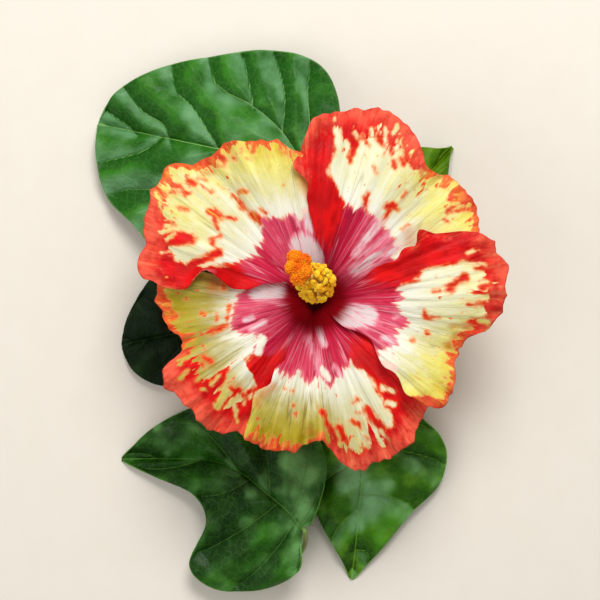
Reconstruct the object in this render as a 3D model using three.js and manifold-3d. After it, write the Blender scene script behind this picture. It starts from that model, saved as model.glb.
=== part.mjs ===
// A cut hibiscus sprig lying on a level surface: a short stem, one large open bloom that faces
// straight up, and five heart-shaped leaves. Millimetres, +Z up. Plan sizes are measured from the
// bloom's axis, heights from the surface, and the finished group is moved so that its box stands
// centred over the origin.
import * as THREE from 'three';
import { mergeVertices } from 'three/addons/utils/BufferGeometryUtils.js';
import Module from 'manifold-3d';

const wasm = await Module();
wasm.setup();
const { lerp, smoothstep, degToRad } = THREE.MathUtils;

// ---- driving sizes ----
const bloomAxis = { x: 9, y: 9 }; // where the bloom's axis stands in the finished frame
const petalPlane = 58; // height of the open petals
const petalThickness = 0.9;
const leafThickness = 1.1;
const layerStep = 1.6; // how far an overlapping petal edge rides above or below the petal plane
const claw = { radius: 4, halfAngle: 30, depth: 33, flare: 7.6, fanFrom: 8, fanTo: 20 };

// Each petal's margin is a list of [angle from its heading in degrees, reach in millimetres], from
// its clockwise side to its counter-clockwise side. A layer of 1 lies over its neighbour, -1 under.
const petals = {
  petal_upper_left: {
    heading: 131, layers: { right: -1, left: 1 }, ruffles: 2.6, phase: 0.4, color: 0xf0a45c,
    margin: [[-44, 54], [-38, 62], [-31, 68], [-23, 73], [-14, 77], [-5, 79], [1, 80], [7, 86],
      [14, 86], [24, 83], [33, 80], [40, 74], [44, 62]],
  },
  petal_upper_right: {
    heading: 57, layers: { right: -1, left: 1 }, ruffles: 2.3, phase: 2.1, color: 0xee7a4a,
    margin: [[-42, 60], [-37, 74], [-31, 80], [-24, 81], [-16, 80], [-11, 76], [-6, 75], [-1, 81],
      [6, 86], [13, 88], [20, 86], [28, 82], [34, 78], [38.5, 67], [40, 56]],
  },
  petal_right: {
    heading: -7, layers: { right: 1, left: 1 }, ruffles: 2.8, phase: 1.2, color: 0xf08a50,
    margin: [[-39, 60], [-36, 71], [-30, 72], [-24, 70], [-17, 66], [-10, 66], [-5, 72], [0, 79],
      [7, 82], [13, 83], [19, 84], [26, 82], [32, 78], [36, 68], [39, 58], [40, 50]],
  },
  petal_lower: {
    heading: -77, layers: { right: 1, left: -1 }, ruffles: 2.4, phase: 3.0, color: 0xee8848,
    margin: [[-42, 58], [-39, 66], [-33, 68], [-26, 67], [-19, 64], [-12, 61], [-7, 65], [-4, 73],
      [0, 76], [6, 77], [12, 76], [19, 75], [26, 71], [32, 67], [38, 62], [42, 54]],
  },
  petal_left: {
    heading: 208, layers: { right: -1, left: -1 }, ruffles: 2.5, phase: 5.0, color: 0xea9048,
    margin: [[-43, 58], [-38, 67], [-32, 70], [-25, 68], [-17, 64], [-11, 61], [-7, 63], [-4, 72],
      [1, 75], [8, 74], [14, 73], [20, 74], [27, 71], [33, 67], [40, 65], [47, 56]],
  },
};

// Each leaf's blade is drawn in plan: its base, midrib and tip, and the edges to the left and right
// of the midrib, seen from the base, each from the notch at the petiole round to the tip.
const leaves = {
  upper_left: {
    base: [0, 59], midrib: [[-21, 64], [-45, 69], [-71, 75]], tip: [-101, 82],
    left: [[-2, 56], [-12, 36], [-30, 24], [-53, 20], [-73, 24], [-85, 36], [-96, 47], [-101, 64]],
    right: [[3, 62], [10, 74], [10, 93], [1, 109], [-21, 115], [-47, 112], [-71, 107], [-91, 97]],
    heights: { base: 30, arch: 5, rim: 12, tip: 0 }, halfWidth: 46, ribs: 5, color: 0x3f7f35,
    petiole: [[1.4, 39, 2.4], [6, 43, 8], [7.5, 51, 20], [1.2, 57.9, 29.3]],
  },
  upper_right: {
    base: [21, 25], midrib: [[35, 40], [51, 57]], tip: [64, 71],
    left: [[19, 28], [16, 40], [20, 54], [30, 66], [40, 70], [49, 70.5], [55, 70], [60, 70.3]],
    right: [[24, 24], [37, 25], [51, 33], [58, 44], [60.5, 53], [61.3, 59], [61.8, 64], [62.8, 68]],
    heights: { base: 20, arch: 3, rim: 9, tip: 0 }, halfWidth: 28, ribs: 4, color: 0x4f8f3a,
    petiole: [[-1.4, 12, 2.6], [4, 14, 7], [13, 19, 15], [20, 24.2, 19.5]],
  },
  left: {
    base: [-35, -13], midrib: [[-53, -14], [-72, -17]], tip: [-90, -21],
    left: [[-33, -16], [-36, -26], [-45, -34], [-57, -39], [-68, -40], [-77, -38], [-84, -33],
      [-88, -27]],
    right: [[-35, -10], [-40, 5], [-50, 15], [-60, 18], [-70, 16], [-77, 9], [-83, 0], [-88, -11]],
    heights: { base: 9, arch: 2, rim: 5, tip: 0 }, halfWidth: 30, ribs: 4, color: 0x21481c,
    petiole: [[-10.6, -14, 2.4], [-17, -14.5, 6], [-26, -14, 9], [-33.6, -13, 8.8]],
  },
  lower_left: {
    base: [-6, -104], midrib: [[-13, -96], [-24, -87], [-35, -79], [-51, -74]], tip: [-90, -74],
    left: [[-7, -111], [-8, -124], [-25, -133], [-46, -133], [-58, -122], [-50, -102], [-57, -89],
      [-74, -82]],
    right: [[-2, -102], [2, -92], [5, -77], [0, -61], [-16, -50], [-39, -46], [-58, -50],
      [-76, -60]],
    heights: { base: 24, arch: 2, rim: 11, tip: 0 }, halfWidth: 42, ribs: 5, color: 0x2f6b28,
    petiole: [[-17, -121, 3], [-10, -120, 6], [-5, -113, 15], [-4.6, -105.4, 23.4]],
  },
  lower_right: {
    base: [24, -42], midrib: [[23, -65], [21, -88], [19, -111]], tip: [17, -130],
    left: [[28, -42], [40, -44], [50, -55], [58, -63], [61, -73], [57, -86], [44, -99], [31, -115]],
    right: [[21, -42], [9, -42], [-1, -51], [-6, -65], [-6, -81], [-1, -95], [5, -108], [12, -120]],
    heights: { base: 12, arch: 3, rim: 6, tip: 0 }, halfWidth: 34, ribs: 5, color: 0x2c6a22,
    petiole: [[-3.2, -6, 2.5], [4, -12, 7], [16, -28, 12], [23.4, -40.7, 12]],
  },
};

const stem = {
  route: [[-21, -128], [-21, -116], [-17, -88], [-13, -58], [-9, -30], [-6, -4], [-4, 14], [-1, 46]],
  cutRadius: 2.9, tipRadius: 1.6, nodes: [0.06, 0.55, 0.66, 0.72, 0.8, 0.96], swelling: 0.4,
};
const flowerStalk = {
  route: [[-9.3, -33, 6.7], [-8.2, -26, 9.5], [-5, -14, 11.5], [-1.2, -3.5, 13.6], [0, 0, 16.8],
    [0, 0, 19.5]],
  radius: 1.4, joint: 0.62, swelling: 0.5, flare: 1.2,
};
const bracts = { count: 7, length: 15, width: 2.2, thickness: 0.7, discRadius: 3.2, base: 20.1 };
const calyx = { base: 22, wall: 1.3, lobeFrom: 14, lobes: 5 };
const column = {
  route: [[0, 0, 24.4], [0, 0.5, 40], [0.3, 2.5, 54], [0.5, 4.5, 63.7]],
  baseRadius: 2.4, tipRadius: 2,
};
const antherHead = {
  route: [[0.5, 4.6, 64.1], [-0.5, 7.5, 74], [-2.6, 10.3, 84.5]],
  coreRadius: 6.3, anthers: 34, antherRadius: 2.3, reach: 6.4,
};
const stigma = {
  style: [[-2.8, 10.5, 85.1], [-4.8, 11.5, 88.5], [-7, 12.4, 93]],
  styleRadius: 1.6, pads: 5, padRadius: 3.9, spread: 4,
};

// ---- making solids ----
const sprig = new THREE.Group();

// Shares the vertices of a geometry and drops the triangles that close up at a pole.
function welded(geometry) {
  geometry.deleteAttribute('normal');
  geometry.deleteAttribute('uv');
  const merged = mergeVertices(geometry, 1e-4);
  const kept = [];
  const index = merged.index.array;
  for (let i = 0; i < index.length; i += 3) {
    const [a, b, c] = index.slice(i, i + 3);
    if (a !== b && b !== c && c !== a) kept.push(a, b, c);
  }
  merged.setIndex(kept);
  return merged;
}

function add(name, geometry, color, roughness) {
  geometry.computeVertexNormals();
  const material = new THREE.MeshStandardMaterial({ color, roughness, metalness: 0 });
  const mesh = new THREE.Mesh(geometry, material);
  mesh.name = name;
  sprig.add(mesh);
}

function reshape(geometry, place) {
  const position = geometry.attributes.position;
  for (let i = 0; i < position.count; i += 1) {
    const point = place(position.getX(i), position.getY(i), position.getZ(i));
    position.setXYZ(i, point.x, point.y, point.z);
  }
  return geometry;
}

// A thin closed blade: surface(across, along) gives the middle of its thickness.
function blade(surface, thickness, acrossSteps, alongSteps) {
  const step = 1e-3;
  const geometry = new THREE.BoxGeometry(2, 1, 1, acrossSteps, alongSteps, 1);
  return welded(reshape(geometry, (x, y, z) => {
    const along = y + 0.5;
    const middle = surface(x, along);
    const across = surface(Math.min(1, x + step), along).sub(surface(Math.max(-1, x - step), along));
    const ahead = surface(x, Math.min(1, along + step)).sub(surface(x, Math.max(0, along - step)));
    const normal = across.cross(ahead).normalize();
    return middle.addScaledVector(normal, 2 * z * thickness / 2);
  }));
}

// A round limb along a route, with a vertex at the far side from the reference direction.
function limb(route, radiusAt, sides, steps, reference) {
  const curve = new THREE.CatmullRomCurve3(route.map((point) => new THREE.Vector3(...point)));
  const geometry = new THREE.CylinderGeometry(1, 1, 1, sides, steps);
  return welded(reshape(geometry, (x, y, z) => {
    const t = y + 0.5;
    const tangent = curve.getTangentAt(t);
    const side = new THREE.Vector3().crossVectors(tangent, reference).normalize();
    const up = new THREE.Vector3().crossVectors(side, tangent);
    const radius = radiusAt(t);
    return curve.getPointAt(t).addScaledVector(side, x * radius).addScaledVector(up, z * radius);
  }));
}

function toSolid(geometry) {
  return new wasm.Manifold(new wasm.Mesh({
    numProp: 3,
    vertProperties: new Float32Array(geometry.attributes.position.array),
    triVerts: new Uint32Array(geometry.index.array),
  }));
}

function fused(geometries) {
  const solid = geometries.map(toSolid).reduce((whole, piece) => whole.add(piece));
  const mesh = solid.getMesh();
  const geometry = new THREE.BufferGeometry();
  geometry.setAttribute('position', new THREE.BufferAttribute(mesh.vertProperties, 3));
  geometry.setIndex(new THREE.BufferAttribute(mesh.triVerts, 1));
  return geometry;
}

const upward = new THREE.Vector3(0, 0, 1);
const sideways = new THREE.Vector3(1, 0, 0);
const bump = (t, centre, width) => Math.exp(-(((t - centre) / width) ** 2));

// ---- stem ----
function makeStem() {
  const radiusAt = (t) => {
    const swollen = stem.nodes.reduce((sum, node) => sum + bump(t, node, 0.018), 0);
    return lerp(stem.cutRadius, stem.tipRadius, t) + stem.swelling * swollen;
  };
  const route = stem.route.map(([x, y], i) => {
    const t = i / (stem.route.length - 1);
    return [x, y, lerp(stem.cutRadius, stem.tipRadius, t)];
  });
  route[1][2] = stem.cutRadius;
  const geometry = limb(route, radiusAt, 8, 26, upward);
  add('stem', reshape(geometry, (x, y, z) => new THREE.Vector3(x, y, Math.max(0, z))), 0x6d7f45, 0.7);
}

function makeFlowerStalk() {
  const radiusAt = (t) => flowerStalk.radius + flowerStalk.swelling * bump(t, flowerStalk.joint, 0.06)
    + flowerStalk.flare * smoothstep(t, 0.8, 1);
  add('flower_stalk', limb(flowerStalk.route, radiusAt, 8, 14, sideways), 0x6f8f3c, 0.6);
}

// ---- calyx and the ring of narrow bracts under it ----
const funnelRadius = (height) => claw.radius
  + claw.flare * Math.log(claw.depth / (petalPlane + 1 - height));

function makeCalyx() {
  const rim = petalPlane - 10;
  const clearance = (height) => lerp(1.6, 2.3, smoothstep(height, 38, rim));
  const inner = [26, 30, 35, 40, 44, rim].map((z) => [funnelRadius(z) + clearance(z), z]);
  const outer = inner.map(([r, z]) => [r + calyx.wall, z]);
  const outline = [[0, calyx.base], [3.4, calyx.base], ...outer, ...inner.reverse(),
    [3.8, calyx.base + 1.9], [0, calyx.base + 1.9]];
  const geometry = new THREE.LatheGeometry(outline.map(([r, z]) => new THREE.Vector2(r, z)), 30);
  const lobeBase = calyx.base + calyx.lobeFrom;
  const shaped = reshape(geometry, (x, y, z) => {
    const lobe = Math.abs(Math.cos(calyx.lobes * Math.atan2(z, x) / 2)) ** 0.8;
    const height = y > lobeBase ? lobeBase + (y - lobeBase) * lerp(0.12, 1, lobe) : y;
    return new THREE.Vector3(x, -z, height);
  });
  add('calyx', welded(shaped), 0x7fa04a, 0.6);
}

function makeBracts() {
  const disc = new THREE.CylinderGeometry(bracts.discRadius, bracts.discRadius, 1.6, 14);
  const pieces = [welded(reshape(disc, (x, y, z) => new THREE.Vector3(x, -z, y + bracts.base + 0.8)))];
  for (let i = 0; i < bracts.count; i += 1) {
    const bearing = i * 2 * Math.PI / bracts.count + 0.3;
    pieces.push(blade((across, along) => {
      const out = 1.5 + 13.5 * Math.sin(along * 1.25) / Math.sin(1.25);
      const half = bracts.width / 2 * Math.sqrt(1.02 - along) * across;
      const height = bracts.base + 0.8 + bracts.length * 0.75 * along ** 2.2;
      return new THREE.Vector3(
        out * Math.cos(bearing) - half * Math.sin(bearing),
        out * Math.sin(bearing) + half * Math.cos(bearing),
        height,
      );
    }, bracts.thickness, 2, 5));
  }
  add('epicalyx', fused(pieces), 0x6f9440, 0.6);
}

// ---- petals ----
function petalPlaneHeight(bearing, radius) {
  const funnel = 1 - claw.depth * Math.exp(-(radius - claw.radius) / claw.flare);
  const cup = 4 * smoothstep(radius, 15, 55);
  const recurve = 7 * Math.max(0, (radius - 55) / 30) ** 2;
  const swell = smoothstep(radius, 22, 78);
  const wave = 2.2 * Math.sin(7 * bearing + 0.6) + 1.3 * Math.sin(12 * bearing + 2);
  return petalPlane + funnel + cup - recurve + swell * wave;
}

function petalSurface(petal) {
  const margin = new THREE.SplineCurve(petal.margin.map((point) => new THREE.Vector2(...point)));
  const rightHalf = -petal.margin[0][0];
  const leftHalf = petal.margin[petal.margin.length - 1][0];
  return (across, along) => {
    const edge = margin.getPoint((across + 1) / 2);
    const side = edge.x / (edge.x > 0 ? leftHalf : rightHalf);
    const layer = edge.x > 0 ? petal.layers.left : petal.layers.right;
    const radius = claw.radius + (edge.y - claw.radius) * along ** 1.35;
    const opened = smoothstep(radius, claw.fanFrom, claw.fanTo);
    const bearing = degToRad(petal.heading + lerp(side * claw.halfAngle, edge.x, opened));
    const layered = layer * layerStep * smoothstep(Math.abs(side), 0.25, 0.67)
      * smoothstep(radius, 6, 14);
    const free = 1 - smoothstep(Math.abs(side), 0.35, 0.6);
    const ruffle = 2.2 * free * along ** 3
      * Math.sin(Math.PI * petal.ruffles * across + petal.phase);
    const curl = 2.4 * layer * smoothstep(Math.abs(side), 0.8, 1) * smoothstep(radius, 25, 60);
    const height = petalPlaneHeight(bearing, radius) + layered + ruffle + curl;
    return new THREE.Vector3(radius * Math.cos(bearing), radius * Math.sin(bearing), height);
  };
}

function makePetals() {
  for (const [name, petal] of Object.entries(petals)) {
    add(name, blade(petalSurface(petal), petalThickness, 26, 10), petal.color, 0.55);
  }
}

// ---- column, anthers and stigma ----
function makeColumn() {
  const radiusAt = (t) => lerp(column.baseRadius, column.tipRadius, t);
  add('staminal_column', limb(column.route, radiusAt, 10, 12, sideways), 0xd8a9a0, 0.5);
}

function makeAntherHead() {
  const radiusAt = (t) => antherHead.coreRadius * Math.sqrt(Math.max(0.12, 1 - (1.9 * t - 0.95) ** 2));
  const pieces = [limb(antherHead.route, radiusAt, 10, 8, sideways)];
  const axis = new THREE.CatmullRomCurve3(antherHead.route.map((p) => new THREE.Vector3(...p)));
  const goldenAngle = Math.PI * (3 - Math.sqrt(5));
  for (let i = 0; i < antherHead.anthers; i += 1) {
    const t = 0.06 + 0.84 * i / (antherHead.anthers - 1);
    const out = antherHead.reach * Math.sqrt(Math.max(0.2, 1 - (1.6 * t - 0.8) ** 2));
    const anther = new THREE.IcosahedronGeometry(antherHead.antherRadius, 0);
    anther.rotateX(i);
    anther.rotateZ(2 * i);
    const place = axis.getPointAt(t);
    anther.translate(
      place.x + out * Math.cos(i * goldenAngle),
      place.y + out * Math.sin(i * goldenAngle),
      place.z,
    );
    pieces.push(welded(anther));
  }
  add('anther_head', fused(pieces), 0xf2b92c, 0.8);
}

function makeStigma() {
  const pieces = [limb(stigma.style, () => stigma.styleRadius, 8, 4, sideways)];
  const [x, y, z] = stigma.style[2];
  const centre = new THREE.IcosahedronGeometry(stigma.padRadius, 1);
  pieces.push(welded(centre.translate(x, y, z)));
  for (let i = 0; i < stigma.pads; i += 1) {
    const bearing = i * 2 * Math.PI / stigma.pads + 0.5;
    const pad = new THREE.IcosahedronGeometry(stigma.padRadius, 1);
    pad.rotateZ(bearing);
    pad.translate(
      x + stigma.spread * Math.cos(bearing),
      y + 1.2 * stigma.spread * Math.sin(bearing),
      z + (i % 2 ? 0.6 : -0.6),
    );
    pieces.push(welded(pad));
  }
  add('stigma_pads', fused(pieces), 0xee8a1c, 0.9);
}

// ---- leaves and their petioles ----
function leafSurface(leaf) {
  const tip = new THREE.Vector2(...leaf.tip);
  const lastRib = new THREE.Vector2(...leaf.midrib[leaf.midrib.length - 1]);
  const forward = tip.clone().sub(lastRib).normalize();
  const halfTip = 0.7;
  const tipLeft = [tip.x - halfTip * forward.y, tip.y + halfTip * forward.x];
  const tipRight = [tip.x + halfTip * forward.y, tip.y - halfTip * forward.x];
  const curve = (points) => new THREE.SplineCurve(points.map((point) => new THREE.Vector2(...point)));
  const midrib = curve([leaf.base, ...leaf.midrib, leaf.tip]);
  const left = curve([...leaf.left, tipLeft]);
  const right = curve([...leaf.right, tipRight]);
  const { base, arch, rim, tip: tipHeight } = leaf.heights;
  return (across, along) => {
    const gone = along ** 1.8;
    const spine = midrib.getPoint(gone);
    const edge = (across > 0 ? left : right).getPoint(along);
    const out = Math.abs(across);
    const plan = spine.clone().lerp(edge, out);
    const away = Math.min(1, plan.distanceTo(spine) / leaf.halfWidth);
    const spineHeight = lerp(base, tipHeight, gone ** 1.5) + arch * Math.sin(Math.PI * gone);
    const rimHeight = lerp(rim, tipHeight, smoothstep(along, 0.55, 1));
    const quilt = 1.3 * Math.sin(2 * Math.PI * leaf.ribs * along + out * 1.2) * 4 * out * (1 - out);
    const height = lerp(spineHeight, rimHeight, away ** 1.6) + quilt;
    return new THREE.Vector3(plan.x, plan.y, Math.max(height, leafThickness / 2));
  };
}

function makeLeaves() {
  for (const [name, leaf] of Object.entries(leaves)) {
    add(`leaf_${name}`, blade(leafSurface(leaf), leafThickness, 12, 16), leaf.color, 0.5);
    const radiusAt = (t) => 1.3 - 0.25 * Math.sin(Math.PI * t) - 0.2 * t;
    add(`petiole_${name}`, limb(leaf.petiole, radiusAt, 7, 8, upward), 0x6f9a45, 0.6);
  }
}

makeStem();
makeFlowerStalk();
makeBracts();
makeCalyx();
makePetals();
makeColumn();
makeAntherHead();
makeStigma();
makeLeaves();
sprig.position.set(bloomAxis.x, bloomAxis.y, 0);

export default sprig;
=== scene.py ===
import math
import random

import bpy
import numpy as np
from mathutils import Euler, Matrix, Vector


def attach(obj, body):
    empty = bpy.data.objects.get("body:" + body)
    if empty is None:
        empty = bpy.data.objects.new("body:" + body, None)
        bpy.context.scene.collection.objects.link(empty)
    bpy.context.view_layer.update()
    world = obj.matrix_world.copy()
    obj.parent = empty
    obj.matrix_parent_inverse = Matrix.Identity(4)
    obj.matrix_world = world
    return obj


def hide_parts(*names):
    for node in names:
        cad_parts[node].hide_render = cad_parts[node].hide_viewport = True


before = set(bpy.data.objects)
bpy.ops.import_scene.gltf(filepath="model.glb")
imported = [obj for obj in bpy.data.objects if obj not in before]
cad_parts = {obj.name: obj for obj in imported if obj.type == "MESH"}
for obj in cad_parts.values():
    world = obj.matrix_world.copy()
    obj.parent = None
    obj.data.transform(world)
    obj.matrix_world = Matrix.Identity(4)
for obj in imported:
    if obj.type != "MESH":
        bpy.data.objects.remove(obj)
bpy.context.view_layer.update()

print("frame loaded:", len(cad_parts), "nodes")

# lengths below are in millimetres from the bloom's axis at floor level, and go to metres here
mm = 0.001
bloomAxis = np.array([9.0, 9.0, 0.0])
petalPlane = 58.0
claw = {"radius": 4, "depth": 33, "flare": 7.6}  # the petals' feet, where they form a funnel
layerStep = 1.6  # between one petal and the next
farOutside = -40.0  # where no stroke of colour is near
goldenAngle = math.pi * (3 - math.sqrt(5))
chance = random.Random(7)


# small helpers for shapes
def smoothstep(value, low, high):
    share = np.clip((value - low) / (high - low), 0, 1)
    return share * share * (3 - 2 * share)


def lerp(start, end, share):
    return start + (end - start) * share


def hump(value, centre, width):
    return np.exp(-(((value - centre) / width) ** 2))


def lookUp(pairs, value):
    # pairs run from low to high, each a place and what holds there
    table = np.array(pairs, float)
    return np.interp(value, table[:, 0], table[:, 1])


def splineAt(points, share):
    # a smooth curve through the points, share 0 to 1 from the first to the last
    points = np.asarray(points, float)
    last = len(points) - 1
    place = np.clip(np.asarray(share, float), 0, 1) * last
    first = np.clip(np.floor(place).astype(int), 0, last - 1)
    gone = (place - first)[..., None]
    here, after = points[first], points[first + 1]
    pullIn = (after - points[np.maximum(first - 1, 0)]) / 2
    pullOut = (points[np.minimum(first + 2, last)] - here) / 2
    cubic = 2 * here - 2 * after + pullIn + pullOut
    square = -3 * here + 3 * after - 2 * pullIn - pullOut
    return cubic * gone**3 + square * gone**2 + pullIn * gone + here


def softNoise(x, y, seed):
    # smooth hills and dips from -1 to 1, about one to a unit
    x, y = np.broadcast_arrays(np.asarray(x, float), np.asarray(y, float))
    cellX, cellY = np.floor(x), np.floor(y)
    shareX, shareY = smoothstep(x - cellX, 0, 1), smoothstep(y - cellY, 0, 1)

    def corner(i, j):
        mixed = np.sin((cellX + i) * 127.1 + (cellY + j) * 311.7 + seed * 74.7) * 43758.5453
        return 2 * (mixed - np.floor(mixed)) - 1

    near = lerp(corner(0, 0), corner(1, 0), shareX)
    far = lerp(corner(0, 1), corner(1, 1), shareX)
    return lerp(near, far, shareY)


def stretches(spots, line):
    # each straight stretch of a line of points: its step, and how far every plan spot is from it
    line = np.asarray(line, float)
    for start, end in zip(line[:-1], line[1:]):
        step = end - start
        share = np.clip(((spots - start) @ step) / max(step @ step, 1e-9), 0, 1)
        gap = spots - start - share[:, None] * step
        yield step, gap, np.hypot(gap[:, 0], gap[:, 1])


def distanceToLine(spots, line):
    return np.min([far for _, _, far in stretches(spots, line)], axis=0)


def placeBetween(spots, lines, tip):
    # the nearest line's distance, above zero on the side of the tip, and the share of the way from
    # that side of one line to the next line
    gaps, sides = [], []
    for line in lines:
        ahead = line[-1] - line[0]
        toTip = np.sign(ahead[0] * (tip[1] - line[0][1]) - ahead[1] * (tip[0] - line[0][0]))
        best, side = np.full(len(spots), np.inf), np.ones(len(spots))
        for step, gap, far in stretches(spots, line):
            turn = toTip * np.sign(step[0] * gap[:, 1] - step[1] * gap[:, 0])
            side = np.where(far < best, turn, side)
            best = np.minimum(best, far)
        gaps.append(best)
        sides.append(side)
    gaps, sides = np.array(gaps), np.array(sides)
    order = np.argsort(gaps, axis=0)
    near, second = (np.take_along_axis(gaps, order[rank:rank + 1], axis=0)[0] for rank in (0, 1))
    side = np.take_along_axis(sides, order[:1], axis=0)[0]
    share = near / np.maximum(near + second, 1e-6)
    return near * side, np.where(side > 0, share, 1 - share)


def wake(piece):
    bpy.ops.object.select_all(action="DESELECT")
    bpy.context.view_layer.objects.active = piece
    piece.select_set(True)


def inEditMode(piece, *steps):
    wake(piece)
    bpy.ops.object.mode_set(mode="EDIT")
    bpy.ops.mesh.select_all(action="SELECT")
    for step in steps:
        step()
    bpy.ops.object.mode_set(mode="OBJECT")


def mergeDoubles():
    bpy.ops.mesh.remove_doubles(threshold=2e-6)


def fillHoles():
    bpy.ops.mesh.fill_holes(sides=0)


def faceOut():
    bpy.ops.mesh.select_all(action="SELECT")
    bpy.ops.mesh.normals_make_consistent(inside=False)


def applyModifier(piece, kind, **settings):
    wake(piece)
    modifier = piece.modifiers.new(kind.title(), kind)
    for setting, value in settings.items():
        setattr(modifier, setting, value)
    bpy.ops.object.modifier_apply(modifier=modifier.name)


def meshPlaces(piece):
    flat = np.empty(len(piece.data.vertices) * 3)
    piece.data.vertices.foreach_get("co", flat)
    return flat.reshape(-1, 3)


def setPlaces(piece, places):
    flat = (np.asarray(places) + bloomAxis) * mm
    piece.data.vertices.foreach_set("co", flat.astype(np.float32).ravel())
    piece.data.update()


def gridPiece(name, columns, rows, place):
    # a flat grid, each point moved to its place on the piece's surface
    bpy.ops.object.select_all(action="DESELECT")
    bpy.ops.mesh.primitive_grid_add(x_subdivisions=columns, y_subdivisions=rows, size=2)
    piece = bpy.context.active_object
    piece.name = piece.data.name = name
    flat = meshPlaces(piece)
    across, along = -flat[:, 0], (flat[:, 1] + 1) / 2
    setPlaces(piece, place(across, along))
    return piece, across, along


def tubePiece(name, route, radiusAt, sides, rings, reference=(0, 0, 1)):
    # a grid rolled round a route, its seam merged and its ends closed
    nearby = 0.004

    def place(across, along):
        turn = math.pi * across
        ahead = splineAt(route, along + nearby) - splineAt(route, along - nearby)
        ahead /= np.linalg.norm(ahead, axis=1)[:, None]
        side = np.cross(np.array(reference, float), ahead)
        side /= np.linalg.norm(side, axis=1)[:, None]
        upright = np.cross(ahead, side)
        radius = radiusAt(along, turn)[:, None]
        return splineAt(route, along) + radius * (
            side * np.sin(turn)[:, None] + upright * np.cos(turn)[:, None])

    piece, _, along = gridPiece(name, sides, rings, place)
    writeAttribute(piece, "along", along)
    inEditMode(piece, mergeDoubles, fillHoles, faceOut)
    return piece


def writeAttribute(piece, name, values):
    made = piece.data.attributes.new(name, "FLOAT", "POINT")
    made.data.foreach_set("value", np.asarray(values, np.float32))


def copyOf(template, spot, turn, size):
    # spot in millimetres from the bloom's axis; turn is a quaternion or an Euler rotation
    made = template.copy()
    made.data = template.data.copy()
    bpy.context.collection.objects.link(made)
    place = Vector((np.asarray(spot, float) + bloomAxis) * mm)
    made.data.transform(Matrix.LocRotScale(place, turn, Vector(size)))
    return made


def joinPieces(name, pieces):
    wake(pieces[0])
    for piece in pieces:
        piece.select_set(True)
    bpy.ops.object.join()
    pieces[0].name = pieces[0].data.name = name
    return pieces[0]


def settle(piece, node, slot, *finishes):
    # smooth faces, its finish, and its place in the frame
    wake(piece)
    bpy.ops.object.shade_smooth()
    for finish in finishes:
        piece.data.materials.append(finish)
    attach(piece, "root")
    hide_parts(node)


# small helpers for finishes
def paint(red, green, blue):
    # a screen colour as the linear one that the shader wants
    def linear(level):
        share = level / 255
        return share / 12.92 if share <= 0.04045 else ((share + 0.055) / 1.055) ** 2.4
    return (linear(red), linear(green), linear(blue), 1.0)


class Wire:
    # one output socket, with arithmetic that adds Math nodes
    def __init__(self, finish, socket):
        self.finish, self.socket = finish, socket

    def maths(self, operation, *values):
        inputs = dict(enumerate(values))
        return self.finish.node("ShaderNodeMath", {"operation": operation}, inputs)

    def __add__(self, other):
        return self.maths("ADD", self, other)

    def __radd__(self, other):
        return self.maths("ADD", other, self)

    def __sub__(self, other):
        return self.maths("SUBTRACT", self, other)

    def __rsub__(self, other):
        return self.maths("SUBTRACT", other, self)

    def __mul__(self, other):
        return self.maths("MULTIPLY", self, other)

    def __rmul__(self, other):
        return self.maths("MULTIPLY", other, self)

    def __truediv__(self, other):
        return self.maths("DIVIDE", self, other)

    def __abs__(self):
        return self.maths("ABSOLUTE", self)

    def over(self, other):
        return self.maths("MAXIMUM", self, other)

    def under(self, other):
        return self.maths("MINIMUM", self, other)

    def rise(self, low, high):
        # 0 below low, 1 above high, smooth between; falls where high is the smaller
        return self.finish.node("ShaderNodeMapRange", {"interpolation_type": "SMOOTHSTEP"},
                                {"Value": self, "From Min": low, "From Max": high})


class Finish:
    # a material and the nodes added to it
    def __init__(self, name, **constants):
        self.material = bpy.data.materials.new(name)
        self.material.use_nodes = True
        self.tree = self.material.node_tree
        self.shader = self.tree.nodes["Principled BSDF"]
        for socket, value in constants.items():
            self.shader.inputs[socket.replace("_", " ")].default_value = value

    def feed(self, socket, value):
        if isinstance(value, Wire):
            self.tree.links.new(value.socket, socket)
        else:
            socket.default_value = value

    def node(self, kind, settings, inputs, output=0):
        made = self.tree.nodes.new(kind)
        for setting, value in settings.items():
            setattr(made, setting, value)
        for socket, value in inputs.items():
            self.feed(made.inputs[socket], value)
        return Wire(self, made.outputs[output])

    def attribute(self, name):
        return self.node("ShaderNodeAttribute", {"attribute_name": name}, {}, "Fac")

    def objectPlace(self):
        return self.node("ShaderNodeTexCoord", {}, {}, "Object")

    def spot(self, x, y, z):
        return self.node("ShaderNodeCombineXYZ", {}, {0: x, 1: y, 2: z})

    def noise(self, vector, scale, detail=3.0):
        return self.node("ShaderNodeTexNoise", {}, {
            "Vector": vector, "Scale": scale, "Detail": detail, "Roughness": 0.55})

    def cells(self, vector, scale, feature="DISTANCE_TO_EDGE"):
        return self.node("ShaderNodeTexVoronoi", {"feature": feature}, {
            "Vector": vector, "Scale": scale}, "Distance")

    def mix(self, factor, first, second):
        # on a colour Mix node the two colours are inputs 6 and 7, and the result is output 2
        settings = {"data_type": "RGBA"}
        return self.node("ShaderNodeMix", settings, {0: factor, 6: first, 7: second}, 2)

    def bump(self, height, distance, strength=1.0):
        return self.node("ShaderNodeBump", {}, {
            "Height": height, "Distance": distance, "Strength": strength})

    def done(self, **inputs):
        for socket, value in inputs.items():
            self.feed(self.shader.inputs[socket.replace("_", " ")], value)
        return self.material


# camera, floor and light; the camera looks straight down and sees width at distance
view = {"centre": (2.0, 9.0), "height": 958.0, "width": 262.5, "distance": 900.0}
floorSheet = {"size": 6.0, "drop": 0.0002}
lights = {
    "key": {"spot": (0.10, 0.62, 0.85), "size": 0.45, "power": 7.7},
    "fill": {"spot": (-0.75, -0.25, 0.8), "size": 0.9, "power": 2.4},
}
lightAim = (0, 0, 0.04)
room = {"colour": (1.0, 0.985, 0.96, 1), "strength": 0.42}


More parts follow.
